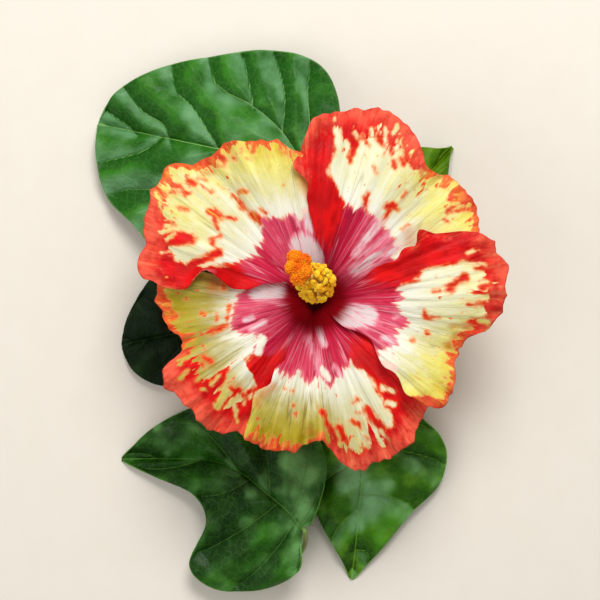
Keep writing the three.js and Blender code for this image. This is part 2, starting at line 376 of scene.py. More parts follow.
def makeStage():
    spot = (view["centre"][0] * mm, view["centre"][1] * mm, view["height"] * mm)
    bpy.ops.object.camera_add(location=spot, rotation=(0, 0, 0))
    camera = bpy.context.active_object
    camera.data.angle = 2 * math.atan(view["width"] / 2 / view["distance"])
    camera.data.clip_start = 0.05
    bpy.context.scene.camera = camera

    low = -floorSheet["drop"]
    bpy.ops.mesh.primitive_plane_add(size=floorSheet["size"], location=(0, 0, low))
    floor = bpy.context.active_object
    floor.name = "floor"
    paper = Finish("pale_floor", Roughness=0.9)
    grain = paper.noise(paper.objectPlace(), 60.0)
    tone = paper.mix(grain, paint(243, 236, 224), paint(238, 230, 216))
    floor.data.materials.append(paper.done(Base_Color=tone))

    for name, light in lights.items():
        bpy.ops.object.light_add(type="AREA", location=light["spot"])
        lamp = bpy.context.active_object
        lamp.name = name
        lamp.data.size = light["size"]
        lamp.data.energy = light["power"]
        aim = Vector(lightAim) - Vector(light["spot"])
        lamp.rotation_euler = aim.to_track_quat("-Z", "Y").to_euler()
    world = bpy.data.worlds.new("pale_room")
    world.use_nodes = True
    background = world.node_tree.nodes["Background"]
    background.inputs["Color"].default_value = room["colour"]
    background.inputs["Strength"].default_value = room["strength"]
    bpy.context.scene.world = world
    bpy.context.scene.view_settings.view_transform = "Standard"


makeStage()
print("camera, floor and light placed")

# Angles are from the petal's heading, in degrees, counter-clockwise; distances are from the axis.
# margin: angle and reach. eye: angle and how far the dark eye reaches. rim: angle and the depth of
# the red band from the margin. flank: distance and the angle where the solid red side starts.
# dabs and gaps: red and cream strokes, from angle, distance to angle, distance, and their width.
# leftEdge, rightEdge: distance and the half angle there. tucks: angle, distance, width and lift.
# layers: whether the right and the left side lie under (-1) or over (1) the next petal. ruffles,
# phase: how many waves the free part has, in halves, and where they start.
# pale, amber, deep: strokes of white, of brown that paints the shadow where a petal lies under its
# neighbour, and of dark red, mostly painted shade in folds, with how strong each is.
# gold, olive, blush: angle and how much of that colour; the olive paints shade on the field, and
# the salmon blush is partly the margin's own colour, partly painted sheen. tint: angle and how
# light the eye is.
# fleck: angle and how speckled the margin is, which also sets how far its red licks reach.
# petalSheet: what all five share, with how high each kind of wave and fold is. swells: the waves
# round the whole bloom, each with their count, their height and where they start.
petalSheet = {
    "columns": 190, "rows": 110, "thickness": 0.55, "scallop": 2.6, "nibble": 0.6, "ruffle": 2.2,
    "curl": 2.4, "frill": 2.9, "fineFrill": 1.8, "hemFrill": 1.5, "fold": 1.3, "pleat": 0.75,
    "cup": 4, "recurve": 7, "swells": [(7, 2.2, 0.6), (12, 1.3, 2)],
}
petals = {
    "petal_upper_left": {
        "heading": 131, "layers": (-1, 1), "ruffles": 2.6, "phase": 0.4,
        "leftEdge": [[4, 34], [8, 30], [15, 17], [21, 29], [25, 33], [30, 40], [37, 42], [40, 39],
                     [45, 35], [50, 34.5], [53, 38], [56, 44]],
        "rightEdge": [[4, 36], [8, 42], [13, 58], [22, 58], [32, 50], [45, 44]],
        "tucks": [[36, 48, 4, 3.2], [20, 84, 5, 1.2], [-3, 75, 4, 2.0], [-10, 60, 5, 1.0]],
        "margin": [[-44, 54], [-38, 62], [-31, 68], [-23, 73], [-14, 77], [-8, 79], [-2, 78],
                   [1, 79], [5, 85], [9, 87], [18, 85], [24, 82], [32, 79], [39, 77], [43, 70],
                   [44, 56]],
        "eye": [[-45, 34], [-37, 38], [-31, 36], [-24, 38], [-18, 40], [-10, 42], [-5, 41],
                [-3, 38], [1, 34], [8, 36], [10, 32], [16, 34], [22, 38], [40, 42]],
        "rim": [[-44, 2], [-29, 2], [-12, 2], [-10, 3], [-2, 5], [1, 3], [5, 3.5], [14, 4.5],
                [22, 8], [27, 11], [32, 12], [44, 12]],
        "flank": [[12, 40], [30, 30], [36, 24], [38, 23], [44, 29], [50, 32], [58, 34], [66, 31],
                  [71, 29], [76, 24], [84, 22]],
        "dabs": [[-6, 41, -4, 47, 3.1], [-4, 47, -3, 52, 2], [-3, 52, -2, 58, 1.5],
                 [-6, 58, -8, 56, 1.5], [9, 60, 8, 56, 3.3], [8, 56, 4, 50, 1.2],
                 [9, 58, 11, 56, 2.8], [11, 56, 13, 53, 1.8], [19, 53, 15, 50, 1.5],
                 [19, 52, 21, 51, 1.6], [34, 57, 23, 47, 3.7], [27, 70, 23, 61, 6.1],
                 [10, 80, 8, 75, 2.2], [6, 77, 5, 73, 1.8], [12, 79, 9, 72, 1.8],
                 [14, 84, 14, 79, 1.3], [15, 72, 14, 68, 1.3], [17, 80, 17, 77, 1.4],
                 [4, 71, 3, 65, 1.1], [3, 74, 2, 71, 1.5], [-7, 75, -8, 73, 3.5],
                 [-5, 73, -6, 71, 1.3], [-11, 73, -11, 71, 1.4], [-15, 74, -14, 72, 1.3],
                 [-19, 73, -18, 70, 1.8], [-15, 68, -16, 67, 1.2], [-10, 46, -11, 44, 1.5],
                 [22, 76, 21, 70, 2.4]],
        "gaps": [[32, 63, 26, 54, 3.6], [32, 70, 29, 64, 1.8], [27, 70, 24, 68, 1.6],
                 [19, 77, 20, 75, 1.9], [23, 73, 21, 70, 1.8], [8, 78, 8, 73, 1.8],
                 [4, 78, 2, 76, 1.6], [16, 81, 19, 78, 1.8], [-10, 75, -10, 73, 1.1],
                 [-13, 74, -12, 71, 1.1]],
        "pale": [[-42, 18, -27, 25, 10.5, 1.3], [-36, 31, -34, 39, 4.4, 0.8],
                 [-28, 34, -27, 38, 2.6, 0.5], [36, 50, 35, 46, 3, 0.35]],
        "amber_shadow": [[-34, 55, -38, 45, 3.6, 0.8], [-3, 76, -5, 76, 3.9, 0.5],
                  [0, 74, -2, 72, 2.6, 0.5], [-28, 67, -33, 64, 2.6, 0.6]],
        "deep": [[36, 59, 31, 53, 3.9, 0.5], [-7, 76, -8, 74, 2.6, 0.8]],
        "gold": [[-44, 1.0], [-25, 0.9], [-10, 0.6], [0, 0.4], [8, 0.4], [14, 0.5], [22, 0.5],
                 [30, 0.15]],
        "olive_shade": [[-44, 0.4], [-25, 0.32], [-12, 0.18], [0, 0.22], [12, 0.28], [20, 0.24],
                  [40, 0.15]],
        "tint": [[-44, 1.1], [-20, 0.95], [0, 0.8], [20, 0.6], [34, 0.35], [44, 0.3]],
        "fleck": [[-44, 0.15], [-22, 0.4], [-10, 0.45], [2, 0.55], [14, 0.6], [22, 0.6],
                  [28, 0.15], [44, 0.0]],
        "blush_and_sheen": [[-44, 0.2], [-10, 0.35], [0, 0.7], [10, 0.9], [20, 1.0], [44, 0.75]],
    },
    "petal_upper_right": {
        "heading": 57, "layers": (-1, 1), "ruffles": 2.3, "phase": 2.1,
        "leftEdge": [[4, 34], [8, 28], [12, 18], [18, 20], [28, 34], [38, 37], [48, 38],
                     [52, 38.5], [57, 43]],
        "rightEdge": [[4, 36], [8, 38], [20, 42], [60, 42]],
        "tucks": [[40, 60, 4, 2.4], [30, 80, 5, 1.5]],
        "margin": [[-42, 60], [-37, 74], [-31, 80], [-24, 81], [-16, 80], [-11, 76], [-6, 75],
                   [-1, 81], [6, 86], [13, 88], [20, 86], [28, 82], [34, 78], [38.5, 66],
                   [43, 57]],
        "eye": [[-42, 34], [-30, 38], [-21, 43], [-12, 42], [-8, 43], [-3, 44], [1, 44], [3, 45],
                [7, 46], [9, 44], [16, 43], [20, 44], [40, 50]],
        "rim": [[-42, 2.5], [-34, 3], [-26, 5], [-20, 5], [-17, 3], [-10, 2.5], [-6, 6], [-2, 10],
                [4, 10], [9, 11], [13, 11], [17, 15], [22, 14.5], [25, 10], [40, 14]],
        "flank": [[10, 16], [40, 15.5], [43, 16], [45, 18], [49, 22], [52, 25], [55, 27], [63, 26],
                  [75, 26.5], [88, 24]],
        "dabs": [[23, 75, 19, 70, 3.9], [19, 78, 17, 74, 3.1], [13, 78, 9, 73, 2.8],
                 [8, 77, 6, 72, 2.4], [4, 69, 2, 67, 1.6], [2, 72, 0, 70, 1.6],
                 [-1, 74, -3, 71, 2.2], [4, 79, 0, 73, 3.5], [-4, 74, -6, 72, 2.6],
                 [19, 68, 19, 65, 1.8], [20, 64, 19, 62, 1.1], [15, 72, 14, 71, 1.8],
                 [9, 63, 8, 61, 1.1], [8, 71, 8, 69, 1.1], [-7, 58, -7, 61, 1.2],
                 [-8, 42, -7, 47, 2], [-7, 47, -6, 51, 1.8], [-4, 51, -6, 53, 3.1],
                 [-6, 52, -9, 53, 1], [-18, 49, -18, 52, 1.4], [3, 44, 7, 49, 2.2],
                 [7, 49, 7, 52, 1.4], [-23, 69, -23, 73, 1.5], [-20, 73, -22, 78, 1.3],
                 [-19, 76, -20, 81, 1.3], [-24, 71, -26, 78, 1.1], [-25, 66, -26, 67, 1],
                 [-14, 78, -14, 79, 1.9]],
        "gaps": [[25, 75, 24, 68, 2.4], [15, 79, 14, 76, 2.0], [11, 81, 9, 75, 1.9],
                 [8, 84, 8, 80, 2.2], [6, 78, 4, 74, 1.5], [3, 76, 2, 73, 1.5],
                 [-20, 77, -21, 79, 1], [-22, 73, -23, 76, 1.1], [-24, 74, -25, 78, 1.1],
                 [27, 80, 27, 79, 1.4]],
        "pale": [[-6, 44, -8, 27, 4.5, 0.62], [-20, 22, -24, 43, 6, 0.75],
                 [-14, 30, -15, 44, 2.6, 0.6], [-2, 47, -4, 44, 1.8, 0.7]],
        "amber_shadow": [[-21, 50, -25, 48, 4.5, 0.45], [2, 84, -1, 79, 2.6, 0.6],
                  [-13, 78, -15, 79, 2.6, 0.6], [10, 89, 6, 88, 2.6, 0.5]],
        "deep": [[36, 44, 29, 42, 6.1, 0.9], [26, 51, 22, 45, 3.1, 0.7],
                 [32, 66, 35, 59, 2.6, 0.5], [29, 75, 26, 65, 2.2, 0.5],
                 [24, 76, 23, 75, 2.2, 0.7], [21, 75, 19, 70, 3.1, 0.6],
                 [13, 85, 11, 75, 1.8, 0.4]],
        "gold": [[-42, 0.75], [-20, 0.6], [-5, 0.45], [8, 0.2], [26, 0.1]],
        "olive_shade": [[-42, 0.05], [-22, 0.14], [-16, 0.05], [0, 0.06], [14, 0.16], [24, 0.12]],
        "tint": [[-42, 1.1], [-20, 0.95], [-5, 0.75], [4, 0.4], [14, 0.2], [40, 0.1]],
        "fleck": [[-42, 0.3], [-20, 0.5], [-15, 0.4], [-5, 0.6], [5, 0.6], [16, 0.5], [24, 0.4],
                  [30, 0.0], [40, 0.0]],
        "blush_and_sheen": [[-42, 0.9], [-20, 0.9], [-10, 0.6], [4, 0.8], [14, 0.7], [26, 0.6], [40, 0.7]],
    },
    "petal_right": {
        "heading": -7, "layers": (1, 1), "ruffles": 2.8, "phase": 1.2,
        "leftEdge": [[4, 35], [8, 33], [15, 29], [23, 32.5], [32, 36], [39, 35], [47, 37],
                     [50, 37], [53, 43], [56, 42], [58, 39]],
        "rightEdge": [[4, 36], [8, 40], [17, 37], [23, 29], [29, 28], [35, 35], [41, 38], [48, 35],
                      [58, 39]],
        "tucks": [[40, 53, 4, 3.4], [-36, 43, 4, 2.2], [30, 78, 5, 1.5], [10, 76, 4, 1.6],
                  [2, 74, 3, 1.2]],
        "margin": [[-39, 60], [-36, 71], [-30, 72], [-24, 70], [-17, 66], [-10, 66], [-5, 72],
                   [0, 79], [7, 82], [13, 83], [19, 84], [26, 82], [32, 78], [36, 68], [39, 58],
                   [43, 51]],
        "eye": [[-45, 34], [-31, 36], [-25, 39], [-21, 39], [-17, 36], [-12, 40], [-6, 41],
                [-3, 38], [3, 36], [8, 38], [16, 37], [20, 40], [40, 40]],
        "rim": [[-39, 0.5], [-37.5, 2.5], [-36, 5.5], [-34, 5.5], [-31, 2.5], [-20, 2.5], [-12, 3],
                [-8, 5], [-2, 7], [4, 9], [10, 10], [14, 10], [22, 11], [40, 10]],
        "flank": [[12, 30], [24, 20], [34, 16], [37, 16.5], [44, 18], [49, 21], [53, 22], [60, 22],
                  [66, 21.5], [74, 19], [84, 18]],
        "dabs": [[12, 58, 16, 65, 4.4], [11, 51, 11, 57, 1.2], [2, 47, -1, 48, 2],
                 [-2, 48, -1, 54, 1.1], [5, 66, 6, 73, 2.2], [-1, 68, -1, 72, 3.1],
                 [18, 71, 18, 76, 3.1], [11, 72, 12, 76, 2.6], [23, 68, 21, 75, 3.5],
                 [-11, 64, -8, 66, 2.6], [-5, 70, -4, 77, 2.6], [-16, 45, -15, 46, 0.8],
                 [-9, 50, -10, 51, 0.8], [-24, 65, -24, 66, 0.7]],
        "gaps": [[24, 69, 24, 74, 2.6], [21, 66, 19, 75, 1.3], [13, 68, 15, 72, 2.6],
                 [13, 72, 13, 75, 1.1], [8, 67, 8, 74, 2.2], [3, 68, 4, 70, 1.3],
                 [1, 68, 2, 75, 1.5], [0, 72, 0, 75, 2.6], [-3, 76, -2, 78, 1.3],
                 [-31, 38, -36, 44, 4]],
        "pale": [[-32, 12, -20, 18, 8.3, 1.2], [-17, 17, -11, 23, 9.2, 1.3],
                 [-22, 34, -20, 39, 3.1, 0.7], [-6, 35, -1, 38, 1.8, 0.4],
                 [7, 35, 9, 38, 1.5, 0.4], [-20, 36, -30, 42, 2, 0.6],
                 [-37, 40, -34, 45, 3.6, 0.9]],
        "amber_shadow": [[-4, 60, -2, 70, 1.6, 0.5], [-3, 66, -5, 71, 3.5, 0.7],
                  [-12, 61, -7, 64, 3.1, 0.7]],
        "deep": [[30, 41, 31, 48, 7.9, 0.5], [38, 58, 33, 70, 2.2, 0.5],
                 [22, 70, 21, 74, 2.6, 0.5], [13, 78, 11, 78, 1.8, 0.8],
                 [28, 80, 24, 76, 2.2, 0.5], [5, 80, 3, 75, 1.6, 0.5]],
        "gold": [[-40, 0.95], [-20, 0.9], [-8, 0.6], [4, 0.35], [20, 0.25]],
        "olive_shade": [[-40, 0.12], [-26, 0.25], [-14, 0.3], [-6, 0.18], [0, 0.1], [20, 0.1]],
        "tint": [[-40, 1.05], [-15, 1.0], [3, 0.8], [18, 0.35], [40, 0.15]],
        "fleck": [[-40, 0.2], [-12, 0.2], [-6, 0.6], [0, 0.7], [14, 0.7], [22, 0.5], [30, 0.0],
                  [40, 0.0]],
        "blush_and_sheen": [[-40, 1.0], [-20, 0.9], [-8, 0.5], [0, 0.6], [20, 0.7], [30, 0.5], [40, 0.25]],
    },
    "petal_lower": {
        "heading": -77, "layers": (1, -1), "ruffles": 2.4, "phase": 3.0,
        "leftEdge": [[4, 36], [8, 38], [14, 50], [30, 52], [40, 44], [54, 42]],
        "rightEdge": [[4, 36], [8, 42], [13, 50], [20, 44], [30, 40], [34, 44], [39, 42],
                      [42, 40.5], [45, 44], [49, 45], [56, 42]],
        "tucks": [[-41, 46, 4, 2.0], [38, 60, 4, 1.6], [-10, 60, 4, 1.4]],
        "margin": [[-43, 62], [-41, 68], [-36, 69], [-29, 69], [-22, 66], [-15, 62], [-11, 60],
                   [-8, 64], [-4, 72], [0, 76], [6, 77], [12, 76], [19, 75], [26, 71], [32, 67],
                   [38, 62], [42, 54]],
        "eye": [[-45, 34], [-38, 35], [-33, 36], [-30, 35], [-27, 32], [-22, 35], [-18, 37],
                [-15, 34], [-10, 34], [-5, 38], [-1, 37], [3, 35], [9, 34], [13, 32], [45, 35]],
        "rim": [[-43, 3], [-34, 4.5], [-22, 4], [-12, 2.5], [-9, 4], [-6, 9], [-2, 8], [4, 7],
                [8, 9], [12, 11], [20, 12], [28, 13], [42, 14]],
        "flank": [[12, 40], [26, 22], [32, 14], [37, 20], [43, 21.5], [49, 21], [54, 19.5],
                  [58, 20], [64, 17], [76, 14]],
        "dabs": [[12, 52, 14, 63, 3.5], [-10, 49, -8, 52, 2.6], [-8, 53, -5, 62, 2.6],
                 [-3, 56, -1, 63, 2.6], [3, 55, 5, 57, 1.5], [6, 57, 6, 60, 1.3],
                 [7, 48, 10, 47, 1], [7, 63, 8, 66, 1.8], [-6, 67, -7, 62, 2.6],
                 [-28, 41, -27, 41, 1.2], [-32, 41, -32, 41, 1], [-26, 47, -25, 47, 0.8],
                 [-24, 50, -23, 50, 0.9], [10, 67, 11, 72, 2.2], [16, 68, 16, 73, 2.2],
                 [7, 52, 8, 53, 1.1], [13, 55, 13, 57, 1.6]],
        "gaps": [[24, 48, 27, 52, 2.8], [21, 54, 24, 57, 2.4], [19, 59, 18, 63, 3.9],
                 [13, 63, 15, 70, 1.3], [2, 63, 3, 68, 3.1], [6, 66, 7, 68, 2.2],
                 [-2, 66, -2, 70, 1.3], [-6, 53, -5, 55, 1.6], [-8, 30, -4, 35, 2.8],
                 [-27, 32, -26, 35, 1.8], [7, 53, 8, 56, 1.6], [0, 38, 1, 37, 1.6]],
        "pale": [[-8, 12, -3, 20, 2.6, 0.85], [-22, 18, -8, 33, 6, 0.4], [2, 30, 5, 38, 3, 0.5]],
        "amber_shadow": [[-40, 42, -43, 48, 3.5, 0.6], [-42, 52, -44, 50, 2.6, 0.6],
                  [-16, 57, -12, 58, 2.2, 0.5]],
        "deep": [[24, 33, 27, 39, 6.1, 0.8], [-7, 57, -6, 62, 2.2, 0.5],
                 [11, 60, 12, 66, 2.6, 0.5]],
        "gold": [[-42, 1.3], [-15, 1.2], [-4, 0.6], [8, 0.3], [20, 0.15]],
        "olive_shade": [[-42, 0.7], [-30, 0.85], [-12, 0.95], [-6, 0.7], [2, 0.45], [10, 0.2],
                  [20, 0.1]],
        "tint": [[-43, 0.7], [0, 0.6], [20, 0.4], [44, 0.15]],
        "fleck": [[-43, 0.3], [-15, 0.3], [-7, 0.6], [10, 0.8], [20, 0.5], [44, 0.1]],
        "blush_and_sheen": [[-42, 0.3], [-12, 0.4], [-4, 0.8], [20, 0.8], [42, 0.7]],
    },
    "petal_left": {
        "heading": 208, "layers": (-1, -1), "ruffles": 2.5, "phase": 5.0,
        "leftEdge": [[4, 36], [8, 38], [14, 42], [40, 46], [56, 47]],
        "rightEdge": [[4, 36], [8, 42], [12, 58], [25, 52], [42, 43]],
        "tucks": [[-34, 66, 5, 1.6]],
        "margin": [[-43, 58], [-38, 67], [-32, 70], [-25, 68], [-17, 64], [-11, 61], [-7, 63],
                   [-4, 72], [1, 75], [8, 74], [14, 73], [20, 74], [27, 71], [33, 67], [40, 65],
                   [47, 56]],
        "eye": [[-45, 32], [-35, 33], [-27, 35], [-22, 36], [-17, 37], [-13, 40], [-6, 38],
                [-3, 37], [0, 31], [7, 30], [11, 36], [20, 38], [45, 38]],
        "rim": [[-43, 3.5], [-32, 4], [-22, 3], [-12, 3], [-8, 4], [-4, 10], [0, 16], [6, 17],
                [12, 17], [19, 17], [24, 19], [28, 19], [34, 15], [47, 12]],
        "flank": [[12, 30], [30, 24], [35, 12], [41, 12], [43, 22], [46, 28], [49, 29], [56, 28],
                  [63, 30], [74, 28]],
        "dabs": [[-21, 50, -20, 49, 2], [-20, 44, -17, 44, 1.2], [-11, 50, -12, 40, 2.4],
                 [-32, 68, -28, 66, 3.1], [-24, 65, -22, 62, 2.6], [-27, 65, -26, 64, 1.3],
                 [-28, 57, -28, 56, 0.8], [-14, 40, -23, 38, 1.3], [-1, 55, 2, 53, 1.8],
                 [-4, 53, -6, 53, 1.2], [0, 67, -2, 63, 2.2], [3, 62, 4, 65, 2.6],
                 [4, 57, 1, 57, 1.3], [10, 51, 10, 49, 2.2], [13, 57, 12, 53, 3.1],
                 [11, 66, 17, 65, 3.5], [15, 63, 13, 60, 2.2], [21, 55, 18, 53, 2.6],
                 [27, 53, 22, 52, 2.6], [20, 63, 21, 60, 2.6], [26, 50, 28, 47, 2.6],
                 [-35, 41, -40, 41, 1.6], [17, 71, 15, 67, 2.6]],
        "gaps": [[18, 56, 19, 63, 3.5], [23, 57, 26, 60, 2.2], [27, 61, 29, 63, 1.8],
                 [27, 55, 26, 53, 1.5], [2, 68, 1, 63, 1.8], [6, 62, 5, 59, 1.8],
                 [10, 63, 12, 62, 1.3], [11, 58, 10, 54, 2.2], [19, 59, 18, 56, 1.3],
                 [-5, 58, -6, 55, 2.2], [-4, 66, -4, 62, 1.3], [14, 34, 7, 29, 4.4]],
        "pale": [[-35, 26, -42, 17, 6.5, 1.1], [-12, 32, -13, 29, 2.2, 0.7],
                 [-3, 31, -5, 25, 2.6, 0.75], [-30, 25, -14, 12, 2.6, 0.4]],
        "amber_shadow": [[-36, 45, -39, 39, 6.1, 0.8], [-1, 55, 3, 53, 3.1, 0.7],
                  [18, 51, 25, 52, 3.5, 0.5]],
        "deep": [[20, 35, 30, 40, 7, 0.4], [12, 54, 14, 60, 2.2, 0.5], [10, 60, 13, 64, 1.3, 0.9],
                 [-31, 68, -28, 66, 2.6, 0.4]],
        "gold": [[-43, 1.3], [-14, 1.1], [-6, 0.7], [8, 0.8], [24, 0.8]],
        "olive_shade": [[-43, 1.2], [-16, 1.05], [-8, 0.9], [4, 0.85], [14, 0.6], [24, 0.45]],
        "tint": [[-45, 1.1], [-20, 0.95], [0, 0.8], [20, 0.5], [45, 0.25]],
        "fleck": [[-45, 0.25], [-8, 0.4], [-3, 0.9], [10, 1.0], [25, 0.9], [32, 0.6], [47, 0.3]],
        "blush_and_sheen": [[-43, 0.3], [-10, 0.4], [-3, 1.0], [20, 0.75], [47, 0.6]],
    },
}


def petalHeight(bearing, radius):
    # the surface that all five petals share: a funnel, a shallow cup, and waves round it
    funnel = 1 - claw["depth"] * np.exp(-(radius - claw["radius"]) / claw["flare"])
    cup = petalSheet["cup"] * smoothstep(radius, 15, 55)
    recurve = petalSheet["recurve"] * np.maximum(0, (radius - 55) / 30) ** 2
    wave = sum(high * np.sin(count * bearing + start)
               for count, high, start in petalSheet["swells"])
    return petalPlane + funnel + cup - recurve + smoothstep(radius, 22, 78) * wave


def petalShape(petal, seed):
    # returns the place maker, and a dictionary that it fills with what the finish needs
    marks, sheet = {}, petalSheet
    rightHalf, leftHalf = -petal["margin"][0][0], petal["margin"][-1][0]

    def place(across, along):
        edge = splineAt(petal["margin"], (across + 1) / 2)
        onLeft = edge[:, 0] > 0
        side = edge[:, 0] / np.where(onLeft, leftHalf, rightHalf)
        out = np.abs(side)
        layer = np.where(onLeft, petal["layers"][1], petal["layers"][0])
        # the margin is finely scalloped
        scallop = sheet["scallop"] * (0.5 - np.abs(softNoise(edge[:, 0] / 6.2, 0, seed)))
        scallop += sheet["nibble"] * softNoise(edge[:, 0] / 1.7, 5, seed)
        reach = edge[:, 1] + scallop * smoothstep(out, 1.0, 0.93)
        radius = claw["radius"] + (reach - claw["radius"]) * along**1.35
        leftEdge, rightEdge = ((lookUp(pairs, radius - 1) + lookUp(pairs, radius + 1)) / 2
                               for pairs in (petal["leftEdge"], petal["rightEdge"]))
        angle = side * np.where(onLeft, leftEdge, rightEdge)
        hem = smoothstep(out, 0.7, 1) * smoothstep(radius, 16, 30)
        angle = angle + 1.6 * hem * softNoise(radius / 5.5, side, seed + 2)
        bearing = np.radians(petal["heading"] + angle)
        layered = layer * layerStep * smoothstep(out, 0.25, 0.67) * smoothstep(radius, 6, 14)
        free = 1 - smoothstep(out, 0.35, 0.6)
        waves = np.sin(math.pi * petal["ruffles"] * across + petal["phase"])
        ruffle = sheet["ruffle"] * free * along**3 * waves
        curl = sheet["curl"] * layer * smoothstep(out, 0.8, 1) * smoothstep(radius, 25, 60)
        fromMargin = reach - radius
        # frills near the margin, folds that fade inward, and fine pleats along the veins
        frill = softNoise(angle / 5.6, radius / 30, seed + 3) * smoothstep(fromMargin, 17, 1)
        fineFrill = softNoise(angle / 2.6, radius / 14, seed + 4) * smoothstep(fromMargin, 11, 0)
        hemFrill = softNoise(radius / 6, side * 2, seed + 8) * hem
        frills = sheet["frill"] * frill + sheet["fineFrill"] * fineFrill
        frills += sheet["hemFrill"] * hemFrill
        fold = softNoise(angle / 9, radius / 40, seed + 5) * smoothstep(radius, 18, 45)
        lean = angle + 1.6 * softNoise(angle / 8, radius / 24, seed + 6)
        pleat = 0.7 * softNoise(lean / 3.4, radius / 90, seed + 7)
        pleat = pleat + 0.3 * softNoise(lean / 1.5, radius / 60, seed + 9)
        pleats = sheet["pleat"] * pleat * smoothstep(radius, 14, 34)
        height = petalHeight(bearing, radius) + layered + ruffle + curl
        height += frills + sheet["fold"] * fold + pleats
        for tuckAngle, tuckReach, width, lift in petal["tucks"]:
            apart = np.hypot(np.radians(angle - tuckAngle) * radius, radius - tuckReach)
            height = height + lift * hump(apart, 0, width)
        turned = np.radians(angle)
        local = np.stack([radius * np.cos(turned), radius * np.sin(turned)], 1)
        marks.update(turn=angle, reach=radius, margin=fromMargin)
        marks["eye"] = lookUp(petal["eye"], angle) - radius
        marks["rim"] = lookUp(petal["rim"], angle) - fromMargin
        marks["thin"] = smoothstep(lookUp(petal["rim"], angle), 7, 3.5)
        flankDepth = np.radians(angle - lookUp(petal["flank"], radius)) * radius
        marks["flank"] = np.maximum(flankDepth, farOutside)
        marks["dab"] = strokes(petal["dabs"], local)
        marks["gap"] = strokes(petal["gaps"], local)
        marks["pleat"] = pleat
        for tone in ("pale", "amber_shadow", "deep"):
            marks[tone] = tonedStrokes(petal[tone], local)
        for tone in ("gold", "olive_shade", "blush_and_sheen", "tint", "fleck"):
            marks[tone] = lookUp(petal[tone], angle)
        return np.stack([radius * np.cos(bearing), radius * np.sin(bearing), height], 1)

    return place, marks


def polarSpot(angle, radius):
    turn = math.radians(angle)
    return np.array([radius * math.cos(turn), radius * math.sin(turn)])


def strokeDepth(local, startAngle, startReach, endAngle, endReach, width):
    # how far inside a stroke, in millimetres
    line = [polarSpot(startAngle, startReach), polarSpot(endAngle, endReach)]
    return width / 2 - distanceToLine(local, line)


def strokes(marks, local):
    nothing = np.full(len(local), farOutside)
    return np.max([nothing, *(strokeDepth(local, *mark) for mark in marks)], axis=0)


def tonedStrokes(marks, local):
    shown = np.zeros(len(local))
    for *line, width, amount in marks:
        inside = strokeDepth(local, *line, width)
        soft = min(3.0, 0.9 + width * 0.4)
        shown = np.maximum(shown, amount * smoothstep(inside, -soft, min(soft, width / 2)))
    return shown


# olive and shade are painted shade on the field, amber is the painted shadow under a neighbouring
# petal, and throat is partly painted shade
petalColours = {
    "cream": paint(236, 234, 200), "white": paint(246, 246, 232), "lemon": paint(240, 230, 120),
    "gold": paint(236, 204, 60), "olive_shade": paint(162, 142, 12), "shade": paint(176, 176, 130),
    "apricot": paint(246, 188, 122), "peach": paint(252, 160, 104), "line": paint(128, 112, 54),
    "rosy": paint(246, 206, 192), "amber_shadow": paint(196, 104, 22),
    "red": paint(232, 12, 14), "deepRed": paint(186, 2, 8), "salmon": paint(250, 98, 72),
    "orange": paint(238, 108, 44), "rust": paint(218, 62, 22), "wine": paint(150, 6, 42),
    "magenta": paint(206, 20, 62), "pink": paint(224, 78, 108), "palePink": paint(238, 152, 168),
    "pearl": paint(230, 212, 212), "crimson": paint(150, 4, 18), "throat": paint(84, 3, 8),
}


